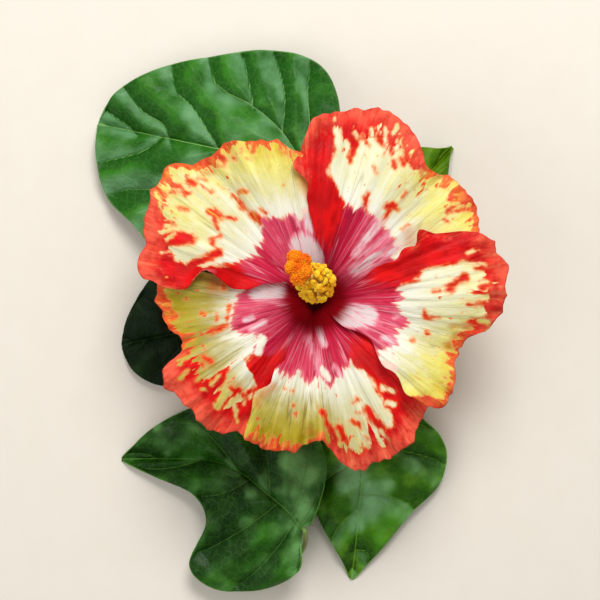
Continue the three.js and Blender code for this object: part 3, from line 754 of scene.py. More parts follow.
def petalFinish(name, seed):
    ink = petalColours
    made = Finish(name, IOR=1.4, Specular_IOR_Level=0.2)
    turn, reach, margin = made.attribute("turn"), made.attribute("reach"), made.attribute("margin")

    def streaks(perDegree, perReach, offset, detail=2.0):
        # noise drawn out along the veins, from about -0.5 to 0.5
        place = made.spot(turn * perDegree, reach * perReach, seed * 11.3 + offset)
        return made.noise(place, 1.0, detail) - 0.5

    def lines(perDegree, perReach, offset, width):
        # thin branching lines along the veins, 1 on a line
        return abs(streaks(perDegree, perReach, offset, 1.0)).rise(width, 0.0)

    flame = streaks(0.26, 0.06, 1)
    teeth = streaks(0.46, 0.14, 2)
    blot = streaks(0.18, 0.17, 3)
    fine = streaks(1.1, 0.5, 4, 1.0)
    closeness = margin.rise(30, 3)
    eye = made.attribute("eye") + flame * 9 + teeth * 8 + fine * 0.5
    licks = made.attribute("fleck")
    rim = made.attribute("rim") + teeth * (13 + licks * 12) + flame * (5 + licks * 34) + fine * 0.6
    flank = made.attribute("flank") + blot * 5 + teeth * 4 + fine * 0.4
    dab = made.attribute("dab") + teeth * 3.4 + blot * 3 + fine * 0.9
    fleck = (streaks(0.5, 0.2, 5) - 0.24 + licks * closeness * 0.17) * 16
    massed = eye.over(rim).over(flank)
    solid = massed.over(dab).over(fleck)
    gap = made.attribute("gap") + teeth * 3 + blot * 2.4 + fine * 0.8
    solid = solid.under(0.4 - gap * 1.3)

    # the field between the red parts
    # pleat valleys and ridges, used below for painted shade and painted highlight
    valleyShade = made.attribute("pleat").rise(0.1, -0.55) * reach.rise(14, 34)
    ridge = made.attribute("pleat").rise(0.1, 0.5) * reach.rise(14, 34)
    fineCrease = lines(0.5, 0.03, 8, 0.04)
    motley = streaks(0.42, 0.11, 22)
    gold = made.attribute("gold") * reach.rise(34, 72) + margin.rise(12, 0) * 0.3 + blot * 0.3
    gold = gold + motley * 0.7
    field = made.mix(made.attribute("eye").rise(-16, -2) * 0.8, ink["cream"], ink["white"])
    field = made.mix(gold.rise(0.0, 0.8), field, ink["lemon"])
    field = made.mix(gold.rise(0.65, 1.3), field, ink["gold"])
    # painted shade: an olive tone where a petal lies under its neighbour or turns from the light
    olive_shade = made.attribute("olive_shade") * reach.rise(28, 56) + blot * 0.3 + streaks(0.3, 0.05, 6) * 0.5
    olive_shade = olive_shade + motley * made.attribute("olive_shade") * 0.9
    field = made.mix(olive_shade.rise(0.02, 1.0) * 0.85, field, ink["olive_shade"])
    # painted shade in the pleats' valleys and along fine creases
    field = made.mix(valleyShade * 0.32 + fineCrease * 0.1, field, made.mix(
        gold.rise(0.3, 0.9), ink["shade"], ink["olive_shade"]))
    # painted highlight on the pleats' ridges
    field = made.mix(ridge * 0.22, field, made.mix(gold.rise(0.1, 0.6), ink["white"], ink["lemon"]))
    vein = lines(0.2, 0.01, 17, 0.024) * reach.rise(22, 34) * margin.rise(3, 12)
    field = made.mix(vein * (0.28 + olive_shade.rise(0.1, 0.8) * 0.42), field, ink["line"])
    specks = streaks(0.9, 0.75, 12, 0.0).rise(0.25, 0.31) * closeness * made.attribute("gold")
    field = made.mix(specks * 0.6, field, ink["orange"])
    # painted shadow: brown where a petal lies under its neighbour
    field = made.mix(made.attribute("amber_shadow"), field, ink["amber_shadow"])
    field = made.mix(made.attribute("pale").rise(0.3, 0.9) * 0.85, field, ink["rosy"])
    halo = made.mix(eye.rise(-3, 0), ink["apricot"], ink["rosy"])
    field = made.mix(solid.rise(-1.5, -0.2) * (0.5 - olive_shade.rise(0.2, 0.9) * 0.3), field, halo)

    # the red parts
    red = made.mix((flame + blot + 0.5).rise(0.2, 0.7), ink["deepRed"], ink["red"])
    red = made.mix(massed.over(dab - 0.8).rise(1.5, -1.0) * 0.7, red, ink["rust"])
    # salmon towards the margin: partly the petal's colour, partly painted sheen where the margin
    # turns, with a little painted highlight on the pleats' ridges
    blush_and_sheen = made.attribute("blush_and_sheen") * margin.rise(15, 0) + teeth * 0.7 + ridge * 0.1
    red = made.mix(blush_and_sheen.rise(0.15, 0.85), red, ink["salmon"])
    thin = made.attribute("thin") * margin.rise(9, 5)
    red = made.mix(thin * 0.85, red, ink["orange"])
    mottle = streaks(0.8, 0.1, 18).rise(0.0, 0.14) * made.attribute("thin") * margin.rise(0.8, 2.2)
    red = made.mix(mottle * 0.6, red, ink["gold"])
    peach = streaks(0.75, 0.05, 15).rise(0.02, 0.2) * margin.rise(15, 2)
    red = made.mix(peach * 0.42, red, ink["peach"])
    ember = streaks(0.8, 0.1, 16).rise(0.05, 0.2) * margin.rise(12, 2)
    red = made.mix(ember * 0.35, red, ink["deepRed"])
    crumple = streaks(0.3, 0.22, 20) * margin.rise(24, 4)
    # painted shade in the crumples' troughs and painted highlight on their crests
    red = made.mix(crumple.rise(0.02, 0.16) * 0.4, red, ink["deepRed"])
    red = made.mix(crumple.rise(-0.03, -0.16) * 0.35, red, ink["salmon"])
    red = made.mix(solid.rise(1.5, 0.2) * 0.65, red, ink["orange"])
    # painted shade in the pleats' valleys and in fine creases near the margin
    creaseShade = valleyShade * 0.35 + lines(0.3, 0.06, 14, 0.05) * closeness * 0.3
    red = made.mix(creaseShade, red, ink["deepRed"])
    # dark red strokes, mostly painted shade over folds
    red = made.mix(made.attribute("deep"), red, ink["deepRed"])
    tint = made.attribute("tint") + flame * 0.7 + teeth * 0.3
    band = streaks(0.3, 0.012, 10, 1.0)
    magenta = made.mix(tint.rise(0.0, 0.6), ink["wine"], ink["magenta"])
    magenta = made.mix(tint.rise(0.45, 1.1), magenta, ink["pink"])
    magenta = made.mix(band.rise(0.02, 0.2) * tint.rise(0.1, 0.6) * 0.7, magenta, ink["pink"])
    magenta = made.mix(band.rise(-0.02, -0.2) * 0.6, magenta, ink["wine"])
    darkLine = lines(0.5, 0.012, 9, 0.05) * reach.rise(32, 18)
    magenta = made.mix(darkLine * 0.5, magenta, ink["wine"])
    flush = streaks(0.16, 0.1, 21).rise(0.0, 0.2) * tint.rise(0.3, 1.0) * reach.rise(16, 28)
    magenta = made.mix(flush * 0.45, magenta, ink["palePink"])
    paleLine = lines(0.16, 0.012, 11, 0.024) * reach.rise(12, 24) * tint.rise(-0.2, 0.5)
    magenta = made.mix(paleLine * 0.7, magenta, ink["palePink"])
    eyeEdge = eye.rise(2.2, 0.2) * flank.rise(0, -2)
    magenta = made.mix(eyeEdge * 0.5, magenta, ink["palePink"])
    inEye = eye.rise(-1.0, 2.0) * flank.rise(3, -3)
    red = made.mix(inEye.over(reach.rise(30, 18)), red, magenta)
    patchy = streaks(0.5, 0.16, 19).rise(-0.14, 0.2)
    pale = made.attribute("pale") * (0.6 + patchy * 0.6 + teeth * 1.2 + band) - darkLine * 0.1
    red = made.mix(pale.rise(0.1, 0.5), red, ink["palePink"])
    red = made.mix(pale.rise(0.42, 0.8), red, ink["pearl"])
    # towards the funnel the petals' own crimson, and near black at its bottom, partly painted shade
    # of the deep funnel
    depth = reach + flame * 5
    red = made.mix(depth.rise(18, 11), red, ink["crimson"])
    red = made.mix(depth.rise(6, 2.5), red, ink["throat"])

    colour = made.mix(solid.rise(-0.8, 0.8).over(reach.rise(24, 14)), field, red)
    wrinkle = streaks(0.42, 0.1, 13, 3.0) * 0.8 + fine * 0.25 - crumple * 2
    normal = made.bump(wrinkle + fineCrease * -0.1 + paleLine * 0.1, 0.0008, 0.6)
    rough = 0.5 + blot * 0.2
    return made.done(Base_Color=colour, Roughness=rough, Normal=normal)


def makePetals():
    for seed, (name, petal) in enumerate(petals.items()):
        place, marks = petalShape(petal, seed * 9 + 1)
        piece, _, _ = gridPiece(name + "_blade", petalSheet["columns"], petalSheet["rows"], place)
        for mark, values in marks.items():
            writeAttribute(piece, mark, values)
        applyModifier(piece, "SOLIDIFY", thickness=petalSheet["thickness"] * mm, offset=0)
        settle(piece, name, "petal", petalFinish(name + "_colours", seed))
        print("petal:", name, len(piece.data.polygons), "faces")


makePetals()

# base, midrib and tip in plan; left and right are the edges seen from the base
# heights: of the base, of the midrib's arch, of the rim and of the tip. halfWidth: where the blade
# has come down to its rim. ribs: how many side veins each half has, or veins: the veins themselves.
# petiole: its route in space, from the stem. quilt: how high the blade swells between its veins.
# sheenAmount, duskAmount: how strong the painted sheen and the painted shade on the two sides of a
# swelling are. puff, mottle: how strong the small swellings, with their painted shade and
# highlight,
# and the light patches are. veinLight: how pale the veins are. patches, shades: spots of painted
# sheen and of painted shade, from x, y, size and amount. sheen to dark: the colours; sheen is that
# of the painted sheen, and the leaves in shade, most of all the left one, have darker colours as
# painted shade.
# leafSheet: what all five share, with how high or deep each kind of fold is.
leafSheet = {
    "columns": 150, "rows": 150, "thickness": 0.6, "ribGroove": 0.5, "veinGroove": 0.35,
    "crinkle": 0.3, "pucker": 1.3, "edgeWave": 0.9,
}
leaves = {
    "upper_left": {
        "base": [0, 59], "midrib": [[-21, 64], [-45, 69], [-71, 75]], "tip": [-101, 82],
        "left": [[-2, 56], [-12, 36], [-30, 24], [-53, 20], [-73, 24], [-85, 36], [-96, 47],
                 [-101, 64]],
        "right": [[3, 62], [10, 74], [10, 93], [1, 109], [-21, 115], [-47, 112], [-71, 107],
                  [-91, 97]],
        "heights": (30, 5, 12, 0), "halfWidth": 46,
        "veins": [[[0, 57], [-7, 64], [-15, 76], [-28, 88], [-45, 98], [-49, 113]], [[-15, 76],
                  [-14, 94], [-19, 115]], [[-4, 62], [-2.6, 79], [-3.5, 95], [-2, 110]],
                  [[-28, 87], [-31.5, 105], [-34, 114]], [[-44, 69], [-56, 88], [-64, 96],
                  [-66, 109]], [[-67, 74], [-70, 81], [-80, 87.5], [-88, 98]], [[-84, 78],
                  [-87, 81], [-97, 88]], [[-70, 75], [-80, 68], [-97, 64], [-103, 62]], [[-42, 68],
                  [-60, 55], [-69, 51], [-87, 51], [-97, 48]], [[-22, 64], [-38, 50], [-52, 40],
                  [-70, 34], [-80, 28]], [[-6, 61], [-20, 45], [-34, 34], [-42, 23]]],
        "petiole": [[-1.4, 37.5, 2.1], [1.4, 39, 2.6], [6, 43, 8], [7.5, 51, 20],
                    [1.2, 57.9, 29.3]],
        "quilt": 5.4, "gloss": 0.12, "sheenAmount": 0.68, "duskAmount": 1.0, "puff": 0.15,
        "mottle": 0.12, "veinLight": 1.0,
        "patches": [],
        "shades": [[-70, 98, 6, 0.8], [-65, 92, 5, 0.7], [-52, 101, 7, 0.8], [-43, 96, 7, 0.8],
                   [-35, 92, 6, 0.7], [2, 92, 12, 0.5]],
        "sheen": (110, 164, 112), "light": (130, 182, 96), "mid": (52, 124, 22),
        "dark": (18, 80, 4),
    },
    "upper_right": {
        "base": [21, 25], "midrib": [[35, 40], [51, 57]], "tip": [64, 71],
        "left": [[19, 28], [16, 40], [20, 54], [30, 66], [40, 70], [49, 70.5], [55, 70],
                 [60, 70.3]],
        "right": [[24, 24], [37, 25], [51, 33], [58, 44], [60.5, 53], [61.3, 59], [61.8, 64],
                  [62.8, 68]],
        "heights": (20, 3, 9, 0), "halfWidth": 28, "ribs": 4,
        "petiole": [[-4, 11.2, 2.2], [-1.4, 12, 2.8], [4, 14, 7], [13, 19, 15], [20, 24.2, 19.5]],
        "quilt": 2.0, "gloss": 0.06, "sheenAmount": 0.2, "duskAmount": 0.6, "puff": 0.15,
        "mottle": 0.15, "veinLight": 0.8,
        "patches": [], "shades": [[50, 46, 6, 0.7], [44, 62, 7, 0.5]],
        "sheen": (140, 170, 60), "light": (140, 170, 40), "mid": (106, 150, 2),
        "dark": (52, 100, 1),
    },
    "left": {
        "base": [-35, -13], "midrib": [[-53, -14], [-72, -17]], "tip": [-90, -21],
        "left": [[-33, -16], [-36, -26], [-45, -34], [-57, -39], [-68, -40], [-77, -38],
                 [-84, -33], [-88, -27]],
        "right": [[-35, -10], [-40, 5], [-50, 15], [-60, 18], [-70, 16], [-77, 9], [-83, 0],
                  [-88, -11]],
        "heights": (9, 2, 5, 0), "halfWidth": 30, "ribs": 4,
        "petiole": [[-7.6, -13.8, 2.3], [-10.6, -14, 2.8], [-17, -14.5, 6], [-26, -14, 9],
                    [-33.6, -13, 8.8]],
        "quilt": 2.8, "gloss": 0.03, "sheenAmount": 0.3, "duskAmount": 0.8, "puff": 0.35,
        "mottle": 0.05, "veinLight": 0.35,
        "patches": [[-84, -18, 5, 0.5]], "shades": [[-68, -18, 18, 0.6]],
        # its colours are darkened as painted shade, for it lies under the flower
        "sheen": (70, 90, 66), "light": (40, 66, 22), "mid": (15, 46, 4), "dark": (5, 22, 1),
    },
    "lower_left": {
        "base": [-6, -104], "midrib": [[-13, -96], [-24, -87], [-35, -79], [-51, -74]],
        "tip": [-90, -74],
        "left": [[-7, -111], [-8, -124], [-25, -133], [-46, -133], [-58, -122], [-50, -102],
                 [-57, -89], [-74, -82]],
        "right": [[-2, -102], [2, -92], [5, -77], [0, -61], [-16, -50], [-39, -46], [-58, -50],
                  [-76, -60]],
        "heights": (24, 2, 11, 0), "halfWidth": 42, "ribs": 5,
        "petiole": [[-20.4, -121.4, 3], [-17, -121, 3.4], [-10, -120, 6], [-5, -113, 15],
                    [-4.6, -105.4, 23.4]],
        "quilt": 4.8, "gloss": 0.1, "sheenAmount": 0.35, "duskAmount": 0.75, "puff": 0.45,
        "mottle": 0.1, "veinLight": 0.35,
        "patches": [[-4, -76, 14, 0.95], [-8, -94, 13, 0.85], [-26, -90, 12, 0.5],
                    [-8, -114, 9, 0.6], [-70, -66, 12, 0.55], [-48, -66, 9, 0.35]],
        "shades": [[-44, -112, 15, 0.8], [-50, -96, 10, 0.8], [-28, -56, 13, 0.6],
                   [-24, -126, 10, 0.5], [-62, -82, 7, 0.5]],
        "sheen": (118, 176, 102), "light": (112, 174, 60), "mid": (50, 122, 12),
        "dark": (6, 44, 1),
    },
    "lower_right": {
        "base": [24, -42], "midrib": [[23, -65], [21, -88], [19, -111]], "tip": [17, -130],
        "left": [[28, -42], [40, -44], [50, -55], [58, -63], [61, -73], [57, -86], [44, -99],
                 [31, -115]],
        "right": [[21, -42], [9, -42], [-1, -51], [-6, -65], [-6, -81], [-1, -95], [5, -108],
                  [12, -120]],
        "heights": (12, 3, 6, 0), "halfWidth": 34, "ribs": 5,
        "petiole": [[-5.8, -5.2, 2.3], [-3.2, -6, 2.8], [4, -12, 7], [16, -28, 12],
                    [23.4, -40.7, 12]],
        "quilt": 3.6, "gloss": 0.1, "sheenAmount": 0.35, "duskAmount": 0.6, "puff": 0.35,
        "mottle": 0.35, "veinLight": 0.6,
        "patches": [[16, -80, 9, 1.1], [25, -92, 10, 1.1], [19, -103, 6, 0.7], [33, -84, 6, 0.6]],
        "shades": [[-3, -64, 11, 0.9], [0, -84, 9, 1.0], [6, -102, 6, 0.8], [42, -54, 9, 0.4]],
        "sheen": (136, 196, 134), "light": (132, 190, 50), "mid": (80, 154, 8),
        "dark": (12, 58, 1),
    },
}


def leafEdges(leaf):
    tip = np.array(leaf["tip"], float)
    forward = tip - np.array(leaf["midrib"][-1], float)
    forward /= np.linalg.norm(forward)
    toLeft = 0.7 * np.array([-forward[1], forward[0]])
    return leaf["left"] + [list(tip + toLeft)], leaf["right"] + [list(tip - toLeft)]


def leafPlan(leaf, across, along):
    left, right = leafEdges(leaf)
    gone = along**1.8
    spine = splineAt([leaf["base"], *leaf["midrib"], leaf["tip"]], gone)
    edge = np.where((across > 0)[:, None], splineAt(left, along), splineAt(right, along))
    return lerp(spine, edge, np.abs(across)[:, None]), spine, gone


def sideVeins(leaf):
    # veins that leave the midrib and sweep forward to the edge
    lines = []
    ribs = leaf["ribs"]
    for side in (-1, 1):
        for rib in range(1, ribs + 1):
            out = np.linspace(0, 0.93, 14)
            along = (rib - 0.25 - 0.3 * (side > 0)) / ribs - 0.19 * out / ribs + 0.08 * out**2
            if along[0] < 0.96:
                lines.append(leafPlan(leaf, side * out, np.clip(along, 0, 0.995))[0])
    return lines


def leafShape(leaf, seed):
    # returns the place maker and the dictionary that it fills, as petalShape does
    marks, sheet = {}, leafSheet
    base, arch, rim, tipHeight = leaf["heights"]
    if "veins" in leaf:
        veins = [splineAt(line, np.linspace(0, 1, 12)) for line in leaf["veins"]]
    else:
        veins = sideVeins(leaf)
    midrib = splineAt([leaf["base"], *leaf["midrib"], leaf["tip"]], np.linspace(0, 1, 40))

    def place(across, along):
        plan, spine, gone = leafPlan(leaf, across, along)
        out = np.abs(across)
        away = np.minimum(1, np.linalg.norm(plan - spine, axis=1) / leaf["halfWidth"])
        spineHeight = lerp(base, tipHeight, gone**1.5) + arch * np.sin(math.pi * gone)
        rimHeight = lerp(rim, tipHeight, smoothstep(along, 0.55, 1))
        toRib = distanceToLine(plan, midrib)
        toVein = np.min([distanceToLine(plan, line) for line in veins], axis=0)
        # the blade swells between its veins and is pinched along them
        pinch = np.exp(-((np.minimum(toRib, toVein) / 7.5) ** 1.4))
        swell = leaf["quilt"] * (1 - pinch) - leaf["quilt"] / 2
        groove = sheet["ribGroove"] * hump(toRib, 0, 1.5)
        groove += sheet["veinGroove"] * hump(toVein, 0, 1.1)
        crinkle = sheet["crinkle"] * softNoise(plan[:, 0] / 3.6, plan[:, 1] / 3.6, seed)
        pucker = np.abs(softNoise(plan[:, 0] / 11, plan[:, 1] / 11, seed + 1)) ** 0.8
        crinkle += sheet["pucker"] * pucker
        # each swelling gets painted sheen on the tip's side of a vein and painted shade before the
        # next, with spots of painted sheen and of painted shade over both
        beside, share = placeBetween(plan, veins, leaf["tip"])
        atVein = smoothstep(np.abs(beside), 0.9, 0.5)
        wander = 0.16 * softNoise(plan[:, 0] / 6, plan[:, 1] / 6, seed + 4)
        acrossVein = smoothstep(beside, -0.6, 0.6)
        sheenSide = smoothstep(share + wander, 0.78, 0.12)
        darkSide = smoothstep(share + wander, 0.5, 0.8)
        sheen = leaf["sheenAmount"] * lerp(sheenSide, acrossVein, atVein)
        dusk = leaf["duskAmount"] * lerp(darkSide, 1 - acrossVein, atVein)
        for x, y, size, amount in leaf["patches"]:
            patch = amount * hump(np.hypot(plan[:, 0] - x, plan[:, 1] - y), 0, size)
            sheen = np.maximum(sheen, patch)
            dusk = dusk * (1 - 0.8 * np.minimum(patch, 1))
        for x, y, size, amount in leaf["shades"]:
            shade = amount * hump(np.hypot(plan[:, 0] - x, plan[:, 1] - y), 0, size)
            dusk = np.maximum(dusk, shade)
        edgeWave = softNoise(along * 14, np.sign(across), seed + 2) * smoothstep(out, 0.75, 1)
        height = lerp(spineHeight, rimHeight, away**1.6)
        height += (swell + crinkle) * smoothstep(out, 1.02, 0.9)
        height += sheet["edgeWave"] * edgeWave - groove
        marks.update(rib=toRib, vein=toVein, out=out, sheen=sheen, dusk=dusk)
        # nothing sinks into the floor
        return np.column_stack([plan, np.maximum(height, 0.45 + 0.1 * (height > 0.2))])

    return place, marks


def leafFinish(name, leaf, seed):
    made = Finish(name, Coat_Weight=leaf["gloss"], Coat_Roughness=0.28, Specular_IOR_Level=0.12)
    place = made.objectPlace()
    rib, vein, out = made.attribute("rib"), made.attribute("vein"), made.attribute("out")
    broad = made.noise(place, 24.0 + seed, 3.0)
    patches = made.noise(place, 90.0, 2.0)
    speckle = made.noise(place, 700.0, 3.0)
    net = made.cells(place, 260.0)
    puffs = made.cells(place, 105.0, "SMOOTH_F1").rise(0.56, 0.2)
    mid, dark, light = paint(*leaf["mid"]), paint(*leaf["dark"]), paint(*leaf["light"])
    colour = made.mix((broad + patches * 0.3).rise(0.42, 0.82), dark, mid)
    # painted shade in the grooves along the veins
    colour = made.mix(vein.rise(4.0, 0.8) * 0.35, colour, dark)
    # painted shade: the dark side of each swelling and the shade spots
    dusk = made.attribute("dusk") * (0.7 + patches * 0.5)
    colour = made.mix(patches.rise(0.5, 0.66) * leaf["mottle"], colour, light)
    colour = made.mix(dusk.rise(0.05, 0.9) * 0.85, colour, dark)
    # painted sheen, broken up by noise and the small swellings, and kept off the painted shade
    broken = broad * 0.8 + (patches - 0.5) * 1.2 + (puffs - 0.5) * (leaf["puff"] * 1.6)
    sheenMask = made.attribute("sheen") * (0.5 + broken) - dusk * 0.5
    colour = made.mix(sheenMask.rise(0.08, 0.8) * 0.9, colour, paint(*leaf["sheen"]))
    # painted shade between the small swellings and a faint painted highlight on their tops
    colour = made.mix((1 - puffs) * leaf["puff"], colour, dark)
    colour = made.mix(puffs.rise(0.5, 1.0) * (leaf["puff"] * 0.12), colour, paint(*leaf["sheen"]))
    colour = made.mix(net.rise(0.06, 0.0) * 0.1, colour, light)
    colour = made.mix(speckle.rise(0.45, 0.75) * 0.07, colour, light)
    paleVein = vein.rise(0.42, 0.1) * out.rise(1.0, 0.7) * (leaf["veinLight"] * 0.65)
    colour = made.mix(paleVein, colour, light)
    colour = made.mix(rib.rise(0.6, 0.2) * (leaf["veinLight"] * 0.8), colour, light)
    colour = made.mix(out.rise(0.985, 1.0) * 0.5, colour, light)
    ridges = net.rise(0.0, 0.25) * 0.45 + speckle * 0.25 + patches * 0.9
    veinRelief = vein.rise(0.0, 1.2) + rib.rise(0.2, 1.4)
    normal = made.bump(ridges + veinRelief * 0.8 + puffs * (leaf["puff"] * 4), 0.0004, 0.8)
    rough = 0.4 + broad * 0.14 + speckle * 0.08
    return made.done(Base_Color=colour, Roughness=rough, Normal=normal)


def petioleFinish(name, green, flush):
    made = Finish(name, Coat_Weight=0.15, Coat_Roughness=0.4)
    place = made.objectPlace()
    broad = made.noise(place, 90.0, 3.0)
    fine = made.noise(place, 900.0, 3.0)
    colour = made.mix(broad.rise(0.4, 0.7) * 0.6, paint(*green), paint(*flush))
    colour = made.mix(fine.rise(0.5, 0.8) * 0.25, colour, paint(196, 206, 150))
    normal = made.bump(fine + broad, 0.0002)
    return made.done(Base_Color=colour, Roughness=0.45 + fine * 0.15, Normal=normal)


def makeLeaves():
    for seed, (name, leaf) in enumerate(leaves.items()):
        place, marks = leafShape(leaf, seed * 5 + 40)
        # the petiole runs on into the blade's midrib
        neck = place(np.zeros(2), np.array([0.03, 0.12])) - [0, 0, 0.5]
        columns, rows = leafSheet["columns"], leafSheet["rows"]
        piece, _, _ = gridPiece("leaf_blade_" + name, columns, rows, place)
        for mark, values in marks.items():
            writeAttribute(piece, mark, values)
        applyModifier(piece, "SOLIDIFY", thickness=leafSheet["thickness"] * mm, offset=0)
        settle(piece, "leaf_" + name, "leaf", leafFinish("leaf_green_" + name, leaf, seed))

        def radiusAt(along, turn):
            waist = 1.15 - 0.15 * np.sin(math.pi * along) + 0.6 * smoothstep(along, 0.3, 0.1)
            groove = 0.2 * np.exp(-((np.abs(turn) / 0.5) ** 2)) * hump(along, 0.5, 0.2)
            return (waist - groove) * (1 - 0.65 * smoothstep(along, 0.74, 1))

        route = np.vstack([leaf["petiole"], neck])
        stalk = tubePiece("petiole_stalk_" + name, route, radiusAt, sides=20, rings=60)
        settle(stalk, "petiole_" + name, "green_stalk",
               petioleFinish("petiole_skin_" + name, (112, 150, 62), (132, 92, 60)))
        print("leaf:", name, len(piece.data.polygons), "faces")


makeLeaves()

# stem and the flower's stalk; nodes are where the stem is swollen, as shares of its length
stem = {
    "route": [[-21, -128], [-21, -116], [-17, -88], [-13, -58], [-9, -30], [-6, -4], [-4, 14],
              [-1, 46]],
    "cutRadius": 2.9, "tipRadius": 1.6, "nodes": [0.06, 0.55, 0.66, 0.72, 0.8, 0.96],
    "swelling": 0.4, "scar": 0.25, "roughness": 0.06,
}
flowerStalk = {
    "route": [[-9.9, -36.5, 2.6], [-9.3, -33, 5.6], [-8.2, -26, 9.1], [-5, -14, 11.5],
              [-1.2, -3.5, 13.6], [0, 0, 16.8], [0, 0, 19.5]],
    "radius": 1.4, "joint": 0.68, "flare": 1.2,
}


def stemFinish():
    made = Finish("stem_bark", Specular_IOR_Level=0.3)
    place, along = made.objectPlace(), made.attribute("along")
    broad = made.noise(place, 70.0, 4.0)
    grain = made.noise(made.spot(made.attribute("around") * 9, along * 60, 0.0), 1.0, 5.0)
    pores = made.cells(place, 420.0, "F1")
    colour = made.mix(broad.rise(0.35, 0.7), paint(104, 120, 62), paint(126, 108, 74))
    colour = made.mix(grain.rise(0.5, 0.8) * 0.5, colour, paint(150, 140, 100))
    colour = made.mix(pores.rise(0.22, 0.08) * 0.7, colour, paint(196, 184, 148))
    colour = made.mix(along.rise(0.35, 0.95) * 0.75, colour, paint(104, 140, 58))
    normal = made.bump(grain * 0.6 + pores.rise(0.25, 0.05), 0.0003)
    return made.done(Base_Color=colour, Roughness=0.7 + broad * 0.15, Normal=normal)


def cutFinish():
    made = Finish("stem_cut_wood", Roughness=0.8)
    place = made.objectPlace()
    centre = [*((stem["route"][0] + bloomAxis[:2]) * mm), stem["cutRadius"] * mm]
    fromPith = made.node("ShaderNodeVectorMath", {"operation": "DISTANCE"},
                         {0: place, 1: centre}, "Value")
    fibre = made.noise(place, 1500.0, 3.0)
    ring = fromPith / mm + fibre * 0.4
    colour = made.mix(ring.rise(0.6, 1.0), paint(226, 218, 178), paint(204, 196, 140))
    colour = made.mix(ring.rise(2.3, 2.8), colour, paint(112, 132, 62))
    return made.done(Base_Color=colour, Normal=made.bump(fibre, 0.0002))


def makeStem():
    count = len(stem["route"]) - 1
    route = [[x, y, lerp(stem["cutRadius"], stem["tipRadius"], i / count)]
             for i, (x, y) in enumerate(stem["route"])]

    def radiusAt(along, turn):
        swollen = sum(hump(along, node, 0.016) for node in stem["nodes"])
        scars = stem["scar"] * sum(hump(along, node - 0.02, 0.006) for node in stem["nodes"])
        rough = stem["roughness"] * softNoise(turn * 3, along * 40, 90)
        taper = lerp(stem["cutRadius"], stem["tipRadius"], along) * 0.985
        return taper + stem["swelling"] * swollen + scars + rough

    piece = tubePiece("stem_body", route, radiusAt, sides=32, rings=260)
    places = meshPlaces(piece) / mm - bloomAxis
    around = np.arctan2(places[:, 2] - 2.5, places[:, 0] + 14)
    writeAttribute(piece, "around", around)
    places[:, 2] = np.maximum(places[:, 2], 0.0)
    setPlaces(piece, places)
    settle(piece, "stem", "green_stalk", stemFinish(), cutFinish())
    justPastCut = (stem["route"][0][1] + 0.1 + bloomAxis[1]) * mm
    for face in piece.data.polygons:
        if face.normal.y < -0.9 and face.center.y < justPastCut:
            face.material_index = 1
    print("stem:", len(piece.data.polygons), "faces")

    def stalkRadius(along, turn):
        joint = 0.5 * hump(along, flowerStalk["joint"], 0.03) - 0.15 * hump(along, 0.715, 0.01)
        foot = 0.7 * smoothstep(along, 0.3, 0.08)
        flare = flowerStalk["flare"] * smoothstep(along, 0.83, 1)
        return flowerStalk["radius"] + joint + foot + flare

    stalk = tubePiece("flower_stalk_body", flowerStalk["route"], stalkRadius, sides=28, rings=70,
                      reference=(1, 0, 0))
    settle(stalk, "flower_stalk", "green_stalk",
           petioleFinish("flower_stalk_skin", (106, 142, 58), (120, 118, 66)))


makeStem()

# calyx and the bracts under it
calyx = {
    "base": 22.0, "rim": 48.0, "lobes": 5, "notch": 0.88, "standOff": 0.65, "thickness": 0.7,
    "floorRadius": 3.4,
}
bracts = {
    "base": 20.1, "count": 7, "foot": 1.5, "reach": 13.5, "bend": 1.25, "rise": 11.25, "width": 2.2,
    "thickness": 0.6, "ringRadius": 3.2,
}


def funnelRadius(height):
    # how wide the petals' funnel is at a height
    return claw["radius"] + claw["flare"] * np.log(claw["depth"] / (petalPlane + 1 - height))


def sepalFinish():
    made = Finish("calyx_skin", Sheen_Weight=0.2)
    place, along = made.objectPlace(), made.attribute("along")
    down = made.noise(place, 1400.0, 3.0)
    broad = made.noise(place, 120.0, 3.0)
    ribs = abs(made.attribute("ribs"))
    colour = made.mix(along.rise(0.1, 0.9), paint(138, 164, 84), paint(112, 142, 60))
    colour = made.mix(ribs.rise(0.25, 0.02) * 0.55, colour, paint(176, 190, 116))
    colour = made.mix(broad.rise(0.5, 0.75) * 0.3, colour, paint(150, 110, 70))
    colour = made.mix(down.rise(0.55, 0.75) * 0.25, colour, paint(214, 218, 170))
    normal = made.bump(down * 0.4 + ribs.rise(0.3, 0.0), 0.0003)
    return made.done(Base_Color=colour, Roughness=0.6 + down * 0.2, Normal=normal)


